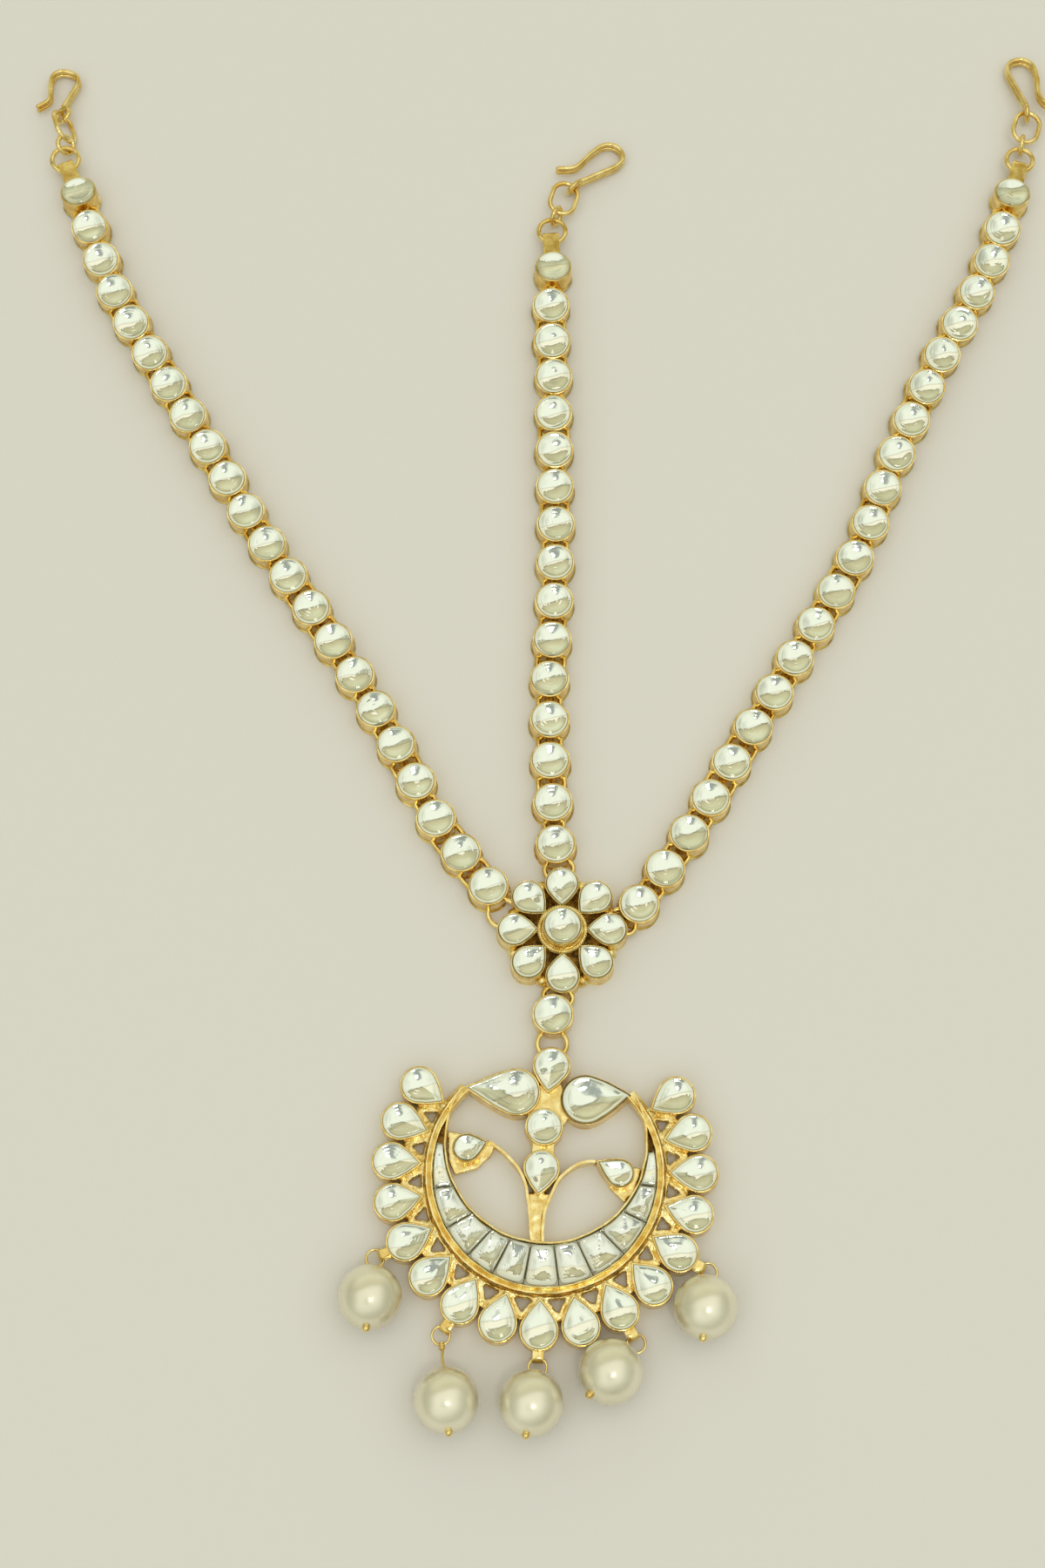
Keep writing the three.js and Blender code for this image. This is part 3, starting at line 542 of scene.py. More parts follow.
# strands
strands = {
    "left": {
        "cups": 22, "leaves": 148.3, "gap": 0.1, "petal": 180, "tab": 114, "rise": 4, "seed": 3,
        "course": [(-14.6, 9), (-25.2, 23.1), (-33.4, 39), (-47.4, 62.8), (-61.8, 84.8), (-75, 107.3),
                   (-88.3, 129.8), (-97.9, 146.7), (-108.2, 173.5)],
        "rings": [(106, 0), (72, 40), (108, 57)],
        "hook": {"heading": 69, "hold": 90, "length": 10.9, "flare": 1},
    },
    "middle": {
        "cups": 16, "leaves": 93.8, "gap": 0.9, "petal": 90, "tab": 93, "rise": 0, "seed": 5,
        "course": [(-1.2, 17.9), (-2.2, 36), (-2.3, 53.6), (-1.3, 71.3), (-0.9, 88.9), (-1.1, 106.1),
                   (-1.1, 123.7), (-1.7, 140.8), (-1.1, 151.7)],
        "rings": [(85, 0), (62, 78), (74, 10)],
        "hook": {"heading": 30, "hold": 44, "length": 13.8, "flare": 1},
    },
    "right": {
        "cups": 22, "leaves": 19.2, "gap": -0.88, "petal": 0, "tab": 72, "rise": 0, "seed": 8,
        "course": [(15.2, 5.3), (26.2, 21), (34.7, 35.6), (48.1, 57.9), (62.1, 81.7), (71.7, 105),
                   (82.3, 128.5), (94.8, 151.9), (102, 171.5)],
        "rings": [(80, 0), (77, 82), (72, 8)],
        "hook": {"heading": 108, "hold": 91, "length": 14.2, "flare": -1},
    },
}
tab = {
    "width": 3.6, "length": 6.4, "sheet": 0.55, "top": 4.1, "foldSeat": 0.9, "clearance": 0.3, "height": 2.55,
}
chain = {"wire": 1.1, "small": 5, "ovalWidth": 6.8, "ovalLength": 9, "bite": 0.25, "steps": 10}
hook = {"width": 7.3, "wire": 1.1, "eyeBore": 2.5, "layer": 0.625,
        "course": [(0, -0.5), (0.4, -0.51), (0.78, -0.5), (0.95, -0.34), (1, 0), (0.95, 0.32), (0.78, 0.5),
                   (0.5, 0.4), (0.08, 0.14), (-0.2, 0.36)]}
tabRingBore = math.hypot(tab["width"] / 2, tab["foldSeat"]) + tab["clearance"]
tabRing = (2 * tabRingBore + chain["wire"]) / math.cos(math.pi / chain["steps"]) + chain["wire"]


# the far cups of a strand lean towards -Y, each cup a little its own way, and the last one outwards
strandLook = {"lean": 12, "leanFrom": 50, "leanOver": 70, "wobble": (0.3, 2.0), "endLean": 5, "foot": 0.25,
              "ringWidths": (0.76, 1.12)}


def strandPlaces(strand):
    start = polar(flowerRadius + strand["gap"] + cupRadius, strand["leaves"])
    first = Vector(strand["course"][0])
    atLength = smoothLine([Vector(point) - first + start for point in strand["course"]], None)
    pitch = cupRadius * 2 + sizes["cupGap"]
    return [atLength(i * pitch).to_2d() for i in range(strand["cups"])]


def foldArc(end, middle, bend):
    # the round of a fold, seen from the side
    return [(end + bend * math.cos(angle), middle + bend * math.sin(angle))
            for angle in (math.radians(60 - 30 * i) for i in range(5))]


def foldedStrap(side, width, sheet, rounding):
    # a strip of sheet whose middle follows a side view of (x, z), with rounded edges
    bm = bmesh.new()
    verts = [bm.verts.new((x, -width / 2, z)) for x, z in side]
    edges = [bm.edges.new(pair) for pair in zip(verts, verts[1:])]
    grown = bmesh.ops.extrude_edge_only(bm, edges=edges)["geom"]
    bmesh.ops.translate(bm, vec=(0, width, 0), verts=pointsOf(grown))
    bmesh.ops.recalc_face_normals(bm, faces=bm.faces)
    bmesh.ops.solidify(bm, geom=bm.faces[:], thickness=sheet)
    corners = [edge for edge in bm.edges if len(edge.link_faces) == 2 and edge.calc_face_angle(0) > 1.2]
    bmesh.ops.bevel(bm, geom=corners, offset=rounding, affect="EDGES", segments=2, profile=0.5, material=-1)
    return bm


def strapTab(place, heading):
    # runs out from the last cup and folds back under, round the ring
    slot = chain["wire"] + 2.2 * tab["clearance"]
    bend = (slot + tab["sheet"]) / 2
    high = tab["height"] + bend
    low = tab["height"] - bend
    end = tab["length"] - tab["sheet"] / 2 - bend
    side = [(-1.6, tab["top"] + 0.1), (-0.2, tab["top"] - 0.15), (1.4, high + 0.15), (end, high),
            *foldArc(end, tab["height"], bend), (end, low), (1.0, low), (-1.6, low)]
    strap = foldedStrap(side, tab["width"], tab["sheet"], 0.12)
    return strap, seatMatrix(place + polar(cupRadius, heading), heading)


def buildStrand(name, strand):
    places = strandPlaces(strand)
    rand = random.Random(strand["seed"])
    last = len(places) - 1
    metal, stones = bmesh.new(), newStones()
    for i, place in enumerate(places):
        ahead = places[min(i + 1, last)] - places[min(i, last - 1)]
        heading = math.degrees(math.atan2(ahead.y, ahead.x))
        far = min(max((place.y - strandLook["leanFrom"]) / strandLook["leanOver"], 0), 1)
        tip = polar(strandLook["lean"] * far, 270)
        tip += polar(rand.uniform(*strandLook["wobble"]), rand.uniform(0, 360))
        if i == last:
            tip = polar(strandLook["endLean"], heading)
        lean, toward = tip.length, math.degrees(math.atan2(tip.y, tip.x))
        height = cupRadius * math.sin(math.radians(lean))
        spot = seatMatrix(place, rand.uniform(0, 360), height, lean, toward)
        stamp(metal, cupMetal(cupRadius, 0, sizes["cupHeight"], strandLook["foot"]), spot)
        addStone(stones, spot, cupRadius, 0, sizes["cupHeight"], i + strand["seed"])
    for start, end in zip(places, places[1:]):
        width = ringLook["chainWidth"] * rand.uniform(*strandLook["ringWidths"])
        stamp(metal, *joiningRing(start, end, cupRadius, cupRadius, width, ringLook["chainGrip"]))
    stamp(metal, *strapTab(places[last], strand["tab"]))
    node = "strand_" + name
    finishPiece("strand_" + name + "_metal", metal, gold["polishedGold"], node)
    finishPiece("strand_" + name + "_stones", stones, foil["foilStone"], node)
    petal = polar(petalCircle, strand["petal"])
    finishRing(name, petal, places[0], sizes["petalRadius"], cupRadius)
    return places


def step(distance, heading, rise=0):
    flat = polar(distance * math.cos(math.radians(rise)), heading)
    return Vector((flat.x, flat.y, distance * math.sin(math.radians(rise))))


def buildChain(name, strand, lastPlace):
    # tab ring, small round ring and oval ring, each through the one before it
    reach = cupRadius + tab["length"] - tab["sheet"] + tab["foldSeat"] - (tabRing - chain["wire"]) / 2
    slot = lastPlace + polar(reach, strand["tab"])
    grip = Vector((slot.x, slot.y, tab["height"]))
    bm = bmesh.new()
    small = chain["small"]
    ringSizes = [(tabRing, tabRing), (small, small), (chain["ovalWidth"], chain["ovalLength"])]
    for i, (width, length) in enumerate(ringSizes):
        heading, roll = strand["rings"][i]
        rise = strand["rise"] if i == 0 else 0
        half = length / 2 - chain["wire"]
        middle = grip + step(half + (chain["wire"] / 2 if i == 0 else chain["bite"]), heading, rise)
        place = seatMatrix(middle, heading, middle.z) @ turn(-rise, "Y")
        ring = wireRing(width, length, chain["wire"], steps=40, sides=12)
        stamp(bm, ring, place @ turn(roll, "X"))
        grip = middle + step(half, heading, rise)
    finishPiece("chain_rings_" + name, bm, gold["wireGold"], "chain_" + name)
    # the hook's eye sits on the oval ring's far arc, on the side that it is pulled to
    arc = polar((chain["ovalWidth"] - chain["wire"]) / 2, strand["hook"]["hold"] - heading)
    spot = Vector(((chain["ovalLength"] - chain["ovalWidth"]) / 2 + arc.x, arc.y, 0))
    return place @ turn(roll, "X") @ spot


def buildHook(name, strand, eyePlace):
    # one wire folded double: two runs one above the other, a round eye at the fold
    heading, flare = strand["hook"]["heading"], strand["hook"]["flare"]
    length, eyeTurn = strand["hook"]["length"], strand["hook"]["hold"] - heading
    radius = hook["wire"] / 2
    eyeRadius = (hook["eyeBore"] + hook["wire"]) / 2
    start = polar(eyeRadius, eyeTurn)
    points = [(along * (length - hook["wire"]) + start.x,
               (across - hook["course"][0][1]) * (hook["width"] - hook["wire"]) * flare + start.y)
              for along, across in hook["course"]]
    line = smoothLine(points, 40)
    bm = bmesh.new()
    for side in (1, -1):
        part = bmesh.new()
        addWire(part, [point + Vector((0, 0, side * hook["layer"])) for point in line], radius, roundness=4)
        stamp(bm, part)
        tip = ball(radius, 12, 8)
        stamp(bm, tip, Matrix.Translation(line[-1] + Vector((0, 0, side * hook["layer"]))))
    eyeWidth = eyeRadius * 2 + hook["wire"]
    eye = wireRing(eyeWidth, eyeWidth, hook["wire"], steps=32, sides=12)
    stamp(bm, eye, turn(eyeTurn, "Z") @ turn(90 + strand["rings"][2][1] * flare, "X"))
    fall = math.asin((eyePlace.z - hook["layer"] - radius) / (length + eyeRadius))
    place = seatMatrix(eyePlace, heading, eyePlace.z) @ Matrix.Rotation(fall, 4, "Y")
    bmesh.ops.transform(bm, matrix=place, verts=bm.verts)
    finishPiece("hair_hook_" + name, bm, gold["wireGold"], "hook_" + name)


for strandName, strand in strands.items():
    places = buildStrand(strandName, strand)
    end = buildChain(strandName, strand, places[-1])
    buildHook(strandName, strand, end)
print("strands, rings and hooks are built")


# flower
flower = {
    "foot": 0.1, "tubeStart": 3.8, "discRadius": 4.95, "webRadius": 1.2,
    "ropeRadius": 4.55, "ropeBeads": 60, "ropeBead": 0.35, "ropeHeight": 4.6, "ropeSlant": 52,
    "plateLevels": [(1, 0), (1, 1.4), (0.97, 1.6)],
    "discLevels": [(1, 0.8), (1, 4.15), (0.97, 4.3), (0.86, 4.35), (0.6, 4.3)],
    "webLevels": [(1, 0), (1, 1.6), (0.6, 2.2), (0.2, 2.5)],
}


def ropeBorder(bm):
    # a twisted border: short slanting beads laid end to end
    for i in range(flower["ropeBeads"]):
        angle = 360 * i / flower["ropeBeads"]
        bead = ball(flower["ropeBead"], 10, 6)
        bmesh.ops.scale(bead, vec=(0.8, 1.75, 1), verts=bead.verts)
        place = seatMatrix(polar(flower["ropeRadius"], angle), angle, flower["ropeHeight"])
        stamp(bm, bead, place @ turn(flower["ropeSlant"], "Z"))


def buildFlower():
    petal = (sizes["petalRadius"], sizes["petalReach"], sizes["petalHeight"])
    centre = (sizes["centreRadius"], 0, sizes["centreHeight"])
    base = bmesh.new()
    for i in range(8):
        direction = 45 * i
        place = seatMatrix(polar(petalCircle, direction), direction + 180)
        stamp(base, cupMetal(*petal, flower["foot"]), place)
        finishStone("petal_foil_" + str(i + 1), "petal_" + str(i + 1) + "_stone", place, *petal, 40 + i)
    plate = bmesh.new()
    raiseLevels(plate, outlineDisc(plate, petalCircle, segments=48), flower["plateLevels"])
    # painted shade: the plate in the recess under the petals is shaded gold
    finishPiece("flower_plate", plate, gold["shadedRecessGold"], "flower_base")
    for i in range(8):  # solder webs in the hollows between the petals
        web = bmesh.new()
        raiseLevels(web, outlineDisc(web, flower["webRadius"], segments=16), flower["webLevels"])
        stamp(base, web, seatMatrix(polar(petalCircle + 0.9, 45 * i + 22.5)))
    disc = bmesh.new()
    raiseLevels(disc, outlineDisc(disc, flower["discRadius"], segments=48), flower["discLevels"])
    stamp(base, disc)
    ropeBorder(base)
    stamp(base, cupMetal(*centre, flower["foot"], low=flower["tubeStart"]))
    finishPiece("flower_metal", base, gold["castGold"], "flower_base")
    finishStone("flower_centre_foil", "flower_centre_stone", seatMatrix((0, 0)), *centre, 60)


buildFlower()
linkPlace = polar(flowerRadius + sizes["linkGap"] + cupRadius, sizes["linkLeaves"])
linkMetal = bmesh.new()
stamp(linkMetal, cupMetal(cupRadius, 0, sizes["cupHeight"], 0), seatMatrix(linkPlace))
finishPiece("link_metal", linkMetal, gold["polishedGold"], "link_cup")
finishStone("link_foil", "link_stone", seatMatrix(linkPlace), cupRadius, 0, sizes["cupHeight"], 71)
print("flower and link are built")


# pendant, drawn round its own centre and then turned and moved to its place
crescent = {
    "radius": 22.8, "hollow": 19.07, "offset": 6, "floor": 2.2, "arcSteps": 150,
    "rimWaver": (0.1, 0.9), "stripWaver": (0.16, 0.35),
    # side views as distance from the edge, and height: a grooved rim outside, and a strip on edge inside
    "rimProfile": [(-1.45, 0.6), (-1.45, 4.25), (-1.3, 4.5), (-1.1, 4.52), (-0.95, 4.35), (-0.8, 4.12),
                   (-0.62, 4.2), (-0.4, 4.4), (-0.1, 4.4), (0.12, 4.1), (0.25, 3.4), (0.45, 2.7), (0.9, 2.3),
                   (0.9, 0.6)],
    "stripProfile": [(0, 0), (0, 4.3), (0.1, 4.46), (0.32, 4.46), (0.45, 4.3), (0.45, 0)],
}
gallery = {"pears": 17, "pearRadius": 3.75, "pearReach": 6.1, "pearGap": 0.33, "pearHeight": 4.3, "neck": 0.5,
           "height": 2.4, "bandInset": 0.5,
           "pierceStart": 0.75, "pierceWidth": (2.5, 3.7), "pierceLength": 2.7,
           "spine": {"radius1": 1.0, "radius2": 0.5, "depth": 4.2}, "spineInset": 5.0, "spineHeight": 2.2,
           "voxel": 0.2, "lumps": 0.17, "softness": 0.6}
pearCircle = crescent["radius"] + gallery["neck"] + gallery["pearReach"]
pearPitch = math.degrees(2 * math.asin((gallery["pearRadius"] * 2 + gallery["pearGap"]) / 2 / pearCircle))
pearDirections = [270 + (i - (gallery["pears"] - 1) / 2) * pearPitch for i in range(gallery["pears"])]
hollow = crescent["hollow"]
motif = {
    "height": 4.2, "plateHeights": [2.8, 2.8, 1.3, 2, 2], "stemThickness": 0.5, "stemHeight": 3.6,
    "largeRise": 1.2, "plateWaver": (0.1, 0.9), "stemWaver": (0.12, 0.4),
    "seats": {
        "top": (0.03, 1.082, 0.194, 0.291, -96), "left": (-0.315, 0.796, 0.246, 0.545, 177),
        "right": (0.385, 0.745, 0.257, 0.485, 8), "round": (-0.024, 0.456, 0.194, 0, 0),
        "lower": (-0.033, 0.041, 0.186, 0.286, -95), "small_left": (-0.791, 0.215, 0.147, 0.228, 17),
        "small_right": (0.75, 0.02, 0.147, 0.272, 155),
    },
    "stems": [
        [(-0.573, 0.281), (-0.411, 0.162), (-0.236, -0.037), (-0.165, -0.296), (-0.115, -0.7)],
        [(0.5, 0.145), (0.44, 0.145), (0.321, 0.107), (0.16, -0.019), (0.05, -0.229), (-0.005, -0.404),
         (-0.01, -0.7)],
    ],
    "plates": [
        [(-0.2, 0.62), (-0.06, 0.95), (0.12, 0.95), (0.24, 0.6), (0.12, 0.4), (-0.16, 0.4)],
        [(-0.14, 0.36), (0.1, 0.36), (0.08, 0.12), (-0.14, 0.12)],
        [(-0.16, -0.18), (0.07, -0.18), (0.0, -0.4), (-0.01, -0.7), (-0.12, -0.7), (-0.15, -0.4)],
        [(-0.99, 0.40), (-0.8, 0.36), (-0.6, 0.31), (-0.5, 0.28), (-0.55, 0.16), (-0.68, 0.03), (-0.9, -0.04),
         (-0.97, 0.1)],
        [(0.97, 0.1), (0.86, 0.1), (0.66, -0.02), (0.64, -0.1), (0.8, -0.25), (0.9, -0.14)],
    ],
}
topSeat = motif["seats"]["top"]
topPlace = linkPlace + polar(cupRadius + sizes["pendantGap"] + topSeat[2] * hollow, sizes["pendantLeaves"])
pendantCentre = topPlace - turned(Vector(topSeat[:2]) * hollow, sizes["pendantTurn"])
pendantPlace = seatMatrix(pendantCentre, sizes["pendantTurn"])


def sweptProfile(profile, reach, rise, start, sweep, steps):
    # spins a closed profile of (distance, height) through part of a turn, at a reach from its centre,
    # which lies at rise on +Y
    bm = bmesh.new()
    verts = [bm.verts.new((reach + out, 0, z)) for out, z in profile]
    face = bm.faces.new(verts)
    bmesh.ops.rotate(bm, verts=verts, cent=(0, 0, 0), matrix=turn(start, "Z").to_3x3())
    bmesh.ops.spin(bm, geom=[face, *face.edges, *face.verts], cent=(0, 0, 0), axis=(0, 0, 1),
                   angle=math.radians(sweep), steps=steps, use_merge=False, use_duplicate=False)
    bmesh.ops.translate(bm, vec=(0, rise, 0), verts=bm.verts)
    return bm


def hornAngles():
    # where the crescent's two edges meet, seen from the crescent's and from the hollow's centre
    radius, offset = crescent["radius"], crescent["offset"]
    outer = math.degrees(math.asin((radius ** 2 + offset ** 2 - hollow ** 2) / (2 * radius * offset)))
    horn = polar(radius, outer) - Vector((0, offset))
    return outer, math.degrees(math.atan2(horn.y, horn.x))


outerHorn, innerHorn = hornAngles()


def waver(bm, size, scale, seed):
    # uneven hand-made surface: pushes the points above the back by smooth noise
    shift = Vector((seed * 7.1, seed * 3.3, seed))
    for vert in bm.verts:
        if vert.co.z > 0.2:
            vert.co += noise.noise_vector(vert.co * scale + shift) * size


def crescentMetal(bm):
    for profile, reach, rise, horn, amount, seed in (
        ("rimProfile", crescent["radius"], 0, outerHorn, "rimWaver", 1),
        ("stripProfile", hollow, crescent["offset"], innerHorn, "stripWaver", 2),
    ):
        steps = crescent["arcSteps"]
        rim = sweptProfile(crescent[profile], reach, rise, 180 - horn, 180 + 2 * horn, steps)
        waver(rim, *crescent[amount], seed)
        stamp(bm, rim)


def arcVerts(bm, reach, rise, horn, count=91):
    # points along an arc from horn to horn
    angles = [180 - horn + (180 + 2 * horn) * i / (count - 1) for i in range(count)]
    return [bm.verts.new((*(polar(reach, angle) + Vector((0, rise))), 0)) for angle in angles]


def crescentFloor():
    # the plate under the channel, between the two arcs
    bm = bmesh.new()
    outer = arcVerts(bm, crescent["radius"] - 0.6, 0, outerHorn)
    inner = arcVerts(bm, hollow + 0.2, crescent["offset"], innerHorn)
    edges = [bm.edges.new(pair) for line in (outer, inner) for pair in zip(line, line[1:])]
    bmesh.ops.bridge_loops(bm, edges=edges)
    grown = bmesh.ops.extrude_face_region(bm, geom=bm.faces[:])["geom"]
    bmesh.ops.translate(bm, vec=(0, 0, crescent["floor"]), verts=pointsOf(grown))
    return bm


def flatPlate(corners, height, scale):
    bm = bmesh.new()
    face = bm.faces.new([bm.verts.new((x * scale, y * scale, 0)) for x, y in corners])
    raiseLevels(bm, face, [(1, 0), (1, height)])
    return bm


def castMesh(bm, cutter=None):
    # remeshes solids into one cast skin with soft corners, with gaps cut through it
    holder = objectOf("cast", bm)

    def addSkin():
        skin = holder.modifiers.new("skin", "REMESH")
        skin.mode = "VOXEL"
        skin.voxel_size = gallery["voxel"]

    addSkin()
    if cutter:
        cutHolder = objectOf("cutter", cutter)
        pierce = holder.modifiers.new("pierce", "BOOLEAN")
        pierce.operation = "DIFFERENCE"
        pierce.solver = "EXACT"
        pierce.object = cutHolder
        addSkin()
    soft = holder.modifiers.new("soften", "SMOOTH")
    soft.factor = gallery["softness"]
    soft.iterations = 4
    bpy.context.view_layer.update()
    made = bpy.data.meshes.new_from_object(holder.evaluated_get(bpy.context.evaluated_depsgraph_get()))
    bpy.data.objects.remove(holder)
    if cutter:
        bpy.data.objects.remove(cutHolder)
    skin = bmesh.new()
    skin.from_mesh(made)
    bpy.data.meshes.remove(made)
    return skin


def buildGallery():
    body, cutter = bmesh.new(), bmesh.new()
    bandStart = crescent["radius"] - gallery["bandInset"]
    high = gallery["height"]
    breadth = pearCircle - gallery["pearRadius"] * 0.45 - bandStart
    profile = [(0, 0), (0, high + 0.5), (2.2, high + 0.1), (breadth, high - 0.3), (breadth, 0)]
    sweep = pearDirections[-1] - pearDirections[0] + 4
    band = sweptProfile(profile, bandStart, 0, pearDirections[0] - 2, sweep, 120)
    stamp(body, band)
    for direction in pearDirections:  # spines that climb from the band to each cup's point
        spine = bmesh.new()
        bmesh.ops.create_cone(spine, cap_ends=True, segments=12, **gallery["spine"])
        spine.transform(turn(90, "Y"))
        spot = polar(pearCircle - gallery["spineInset"], direction)
        stamp(body, spine, seatMatrix(spot, direction, gallery["spineHeight"]))
    start = crescent["radius"] + gallery["pierceStart"]
    for a, b in zip(pearDirections, pearDirections[1:]):
        # three-cornered gaps between the pears, wider towards the bottom
        lowness = 1 - abs((a + b) / 2 - 270) / (pearDirections[-1] - 270)
        least, most = gallery["pierceWidth"]
        width = least + (most - least) * lowness
        corners = [(start, -width / 2), (start + gallery["pierceLength"], 0), (start, width / 2)]
        stamp(cutter, flatPlate(corners, 8, 1), seatMatrix((0, 0), (a + b) / 2, -1))
    skin = castMesh(body, cutter)
    waver(skin, gallery["lumps"], 0.8, 5)
    waver(skin, gallery["lumps"] * 0.5, 2.2, 6)
    return skin


def buildMotifPlates():
    body = bmesh.new()
    for height, corners in zip(motif["plateHeights"], motif["plates"]):
        stamp(body, flatPlate(corners, height, hollow))
    skin = castMesh(body)
    waver(skin, *motif["plateWaver"], 7)
    return skin


def standingStrip(points, thickness, height):
    # a ribbon on edge along a smooth line
    line = smoothLine([Vector(point) * hollow for point in points], 36)
    bm = bmesh.new()
    verts = [bm.verts.new((point.x, point.y, 0)) for point in line]
    edges = [bm.edges.new(pair) for pair in zip(verts, verts[1:])]
    for z in (height * 0.3, height * 0.65, height):
        grown = bmesh.ops.extrude_edge_only(bm, edges=edges)["geom"]
        rise = pointsOf(grown)
        bmesh.ops.translate(bm, vec=(0, 0, z - edges[0].verts[0].co.z), verts=rise)
        edges = [item for item in grown if isinstance(item, bmesh.types.BMEdge)
                 and all(vert in rise for vert in item.verts)]
    bmesh.ops.recalc_face_normals(bm, faces=bm.faces)
    waver(bm, *motif["stemWaver"], 9)
    bmesh.ops.solidify(bm, geom=bm.faces[:], thickness=thickness)
    return bm


bail = {"width": 2.1, "sheet": 0.42, "bore": 1.4, "height": 1.9, "wire": 0.5, "loop": 3.9, "clearance": 0.3}
bailStart = pearCircle + gallery["pearRadius"]
pendantFoot = 0.05


def bailStrap(direction):
    # sheet folded into a loop beyond a pear cup
    bend = (bail["bore"] + bail["sheet"]) / 2
    high = bail["height"] + bend
    low = bail["height"] - bend
    end = bailStart + bail["sheet"] + bail["bore"] + bail["sheet"] / 2 - bend
    side = [(bailStart - 0.9, high + 0.1), (end - 0.2, high), *foldArc(end, bail["height"], bend),
            (end - 0.2, low), (bailStart - 0.9, low)]
    return foldedStrap(side, bail["width"], bail["sheet"], 0.1), seatMatrix((0, 0), direction)


drops = [
    {"pear": 4, "length": 7.55, "heading": -94}, {"pear": 6, "length": 11.95, "heading": -84},
    {"pear": 8, "length": 6.8, "heading": -100}, {"pear": 10, "length": 7.35, "heading": -133},
    {"pear": 12, "length": 6.95, "heading": -98},
]


def buildPendant():
    rims = bmesh.new()
    crescentMetal(rims)
    floorPlate = crescentFloor()
    bmesh.ops.transform(floorPlate, matrix=pendantPlace, verts=floorPlate.verts)
    # painted shade: the channel floor is shaded gold
    finishPiece("crescent_floor", floorPlate, gold["shadedRecessGold"], "pendant_frame")
    for points in motif["stems"]:
        stamp(rims, standingStrip(points, motif["stemThickness"], motif["stemHeight"]))
    bmesh.ops.transform(rims, matrix=pendantPlace, verts=rims.verts)
    finishPiece("crescent_rims", rims, gold["castGold"], "pendant_frame")
    for name, skin in (("pendant_gallery", buildGallery()), ("motif_plates", buildMotifPlates())):
        bmesh.ops.transform(skin, matrix=pendantPlace, verts=skin.verts)
        finishPiece(name, skin, gold["castGold"], "pendant_frame", sharp=60)
    cups = bmesh.new()
    for i, direction in enumerate(pearDirections):
        place = seatMatrix(polar(pearCircle, direction), direction + 180)
        pear = (gallery["pearRadius"], gallery["pearReach"], gallery["pearHeight"])
        stamp(cups, cupMetal(*pear, pendantFoot), pendantPlace @ place)
        number = str(i + 1)
        finishStone("outer_foil_" + number, "outer_" + number + "_stone", pendantPlace @ place, *pear, 80 + i)
    for i, (name, (x, y, bulb, reach, points)) in enumerate(motif["seats"].items()):
        place = seatMatrix((x * hollow, y * hollow), points)
        radius, reach = bulb * hollow, reach * hollow
        stamp(cups, cupMetal(radius, reach, motif["height"], pendantFoot), pendantPlace @ place)
        rise = cup["stoneRise"] * (motif["largeRise"] if radius > 4 else 1)  # higher on the large leaves
        finishStone("motif_foil_" + name, "motif_" + name + "_stone", pendantPlace @ place,
                    radius, reach, motif["height"], 110 + i, rise=rise)
    for drop in drops:
        strap, place = bailStrap(pearDirections[drop["pear"]])
        stamp(cups, strap, pendantPlace @ place)
    finishPiece("pendant_cups", cups, gold["polishedGold"], "pendant_frame")


channel = {"shares": [24, 21, 17.5, 15.5, 16.5, 18, 18, 19, 19.5, 19, 18.5], "arc": 207, "play": 0.12,
           "low": 2.5, "edge": 3.85, "crown": 0.72, "lumps": 0.14, "across": 14, "along": 12, "seam": 0.07,
           "outerRim": 1.4, "innerRim": 0.45}


def innerReach(degrees, reach):
    # how far the hollow's edge lies from the crescent's centre in one direction
    along = polar(1, degrees).y * crescent["offset"]
    return along + math.sqrt(along * along - crescent["offset"] ** 2 + reach * reach)


def buildChannelStones():
    stones = newStones()
    outer = crescent["radius"] - channel["outerRim"] - channel["play"]
    inner = hollow + channel["innerRim"] + channel["play"]
    total = sum(channel["shares"])
    angle = 270 - channel["arc"] / 2
    for number, share in enumerate(channel["shares"]):
        nextAngle = angle + channel["arc"] * share / total
        block = bmesh.new()
        bmesh.ops.create_grid(block, x_segments=channel["across"], y_segments=channel["along"], size=1)
        shares = []
        for vert in block.verts:
            u, v = vert.co.x, vert.co.y
            shares.append((abs(u) ** 6 + abs(v) ** 6) ** (1 / 6))
            seam = math.degrees(channel["seam"] / outer)
            direction = (angle + seam) + (nextAngle - angle - 2 * seam) * (u + 1) / 2
            near = innerReach(direction, inner)
            reach = near + (outer - near) * (v + 1) / 2
            dome = (1 - abs(u) ** 3.5) * (1 - abs(v) ** 3.5)
            place = polar(reach, direction)
            lump = noise.noise(Vector((place.x, place.y, number)) * 0.55)
            height = channel["edge"] + channel["crown"] * dome ** 0.55 + lump * channel["lumps"] * dome
            vert.co = (place.x, place.y, height)
        rim = [edge for edge in block.edges if edge.is_boundary]
        skirt = bmesh.ops.extrude_edge_only(block, edges=rim)["geom"]
        for vert in pointsOf(skirt):
            vert.co.z = channel["low"]
            shares.append(1)
        bmesh.ops.contextual_create(block, geom=[edge for edge in block.edges if edge.is_boundary])
        mapStone(stones, stamp(stones, block, pendantPlace), shares)
        angle = nextAngle
    finishPiece("channel_foil", stones, foil["channelStone"], "crescent_stones", sharp=50)


buildPendant()
buildChannelStones()
finishRing("flower_link", polar(petalCircle, 270), linkPlace, sizes["petalRadius"], cupRadius)
finishRing("link_pendant", linkPlace, topPlace, cupRadius, topSeat[2] * hollow)
print("pendant is built")


# pearl drops
pearl = {"radius": 6, "pinTilt": 22.5, "pinBall": 0.75, "collar": 1.425, "collarWire": 0.35, "wireBend": 0.12,
         "coilRadius": 0.45, "coilWire": 0.2, "coilPitch": 0.035, "segments": 64, "rings": 40}


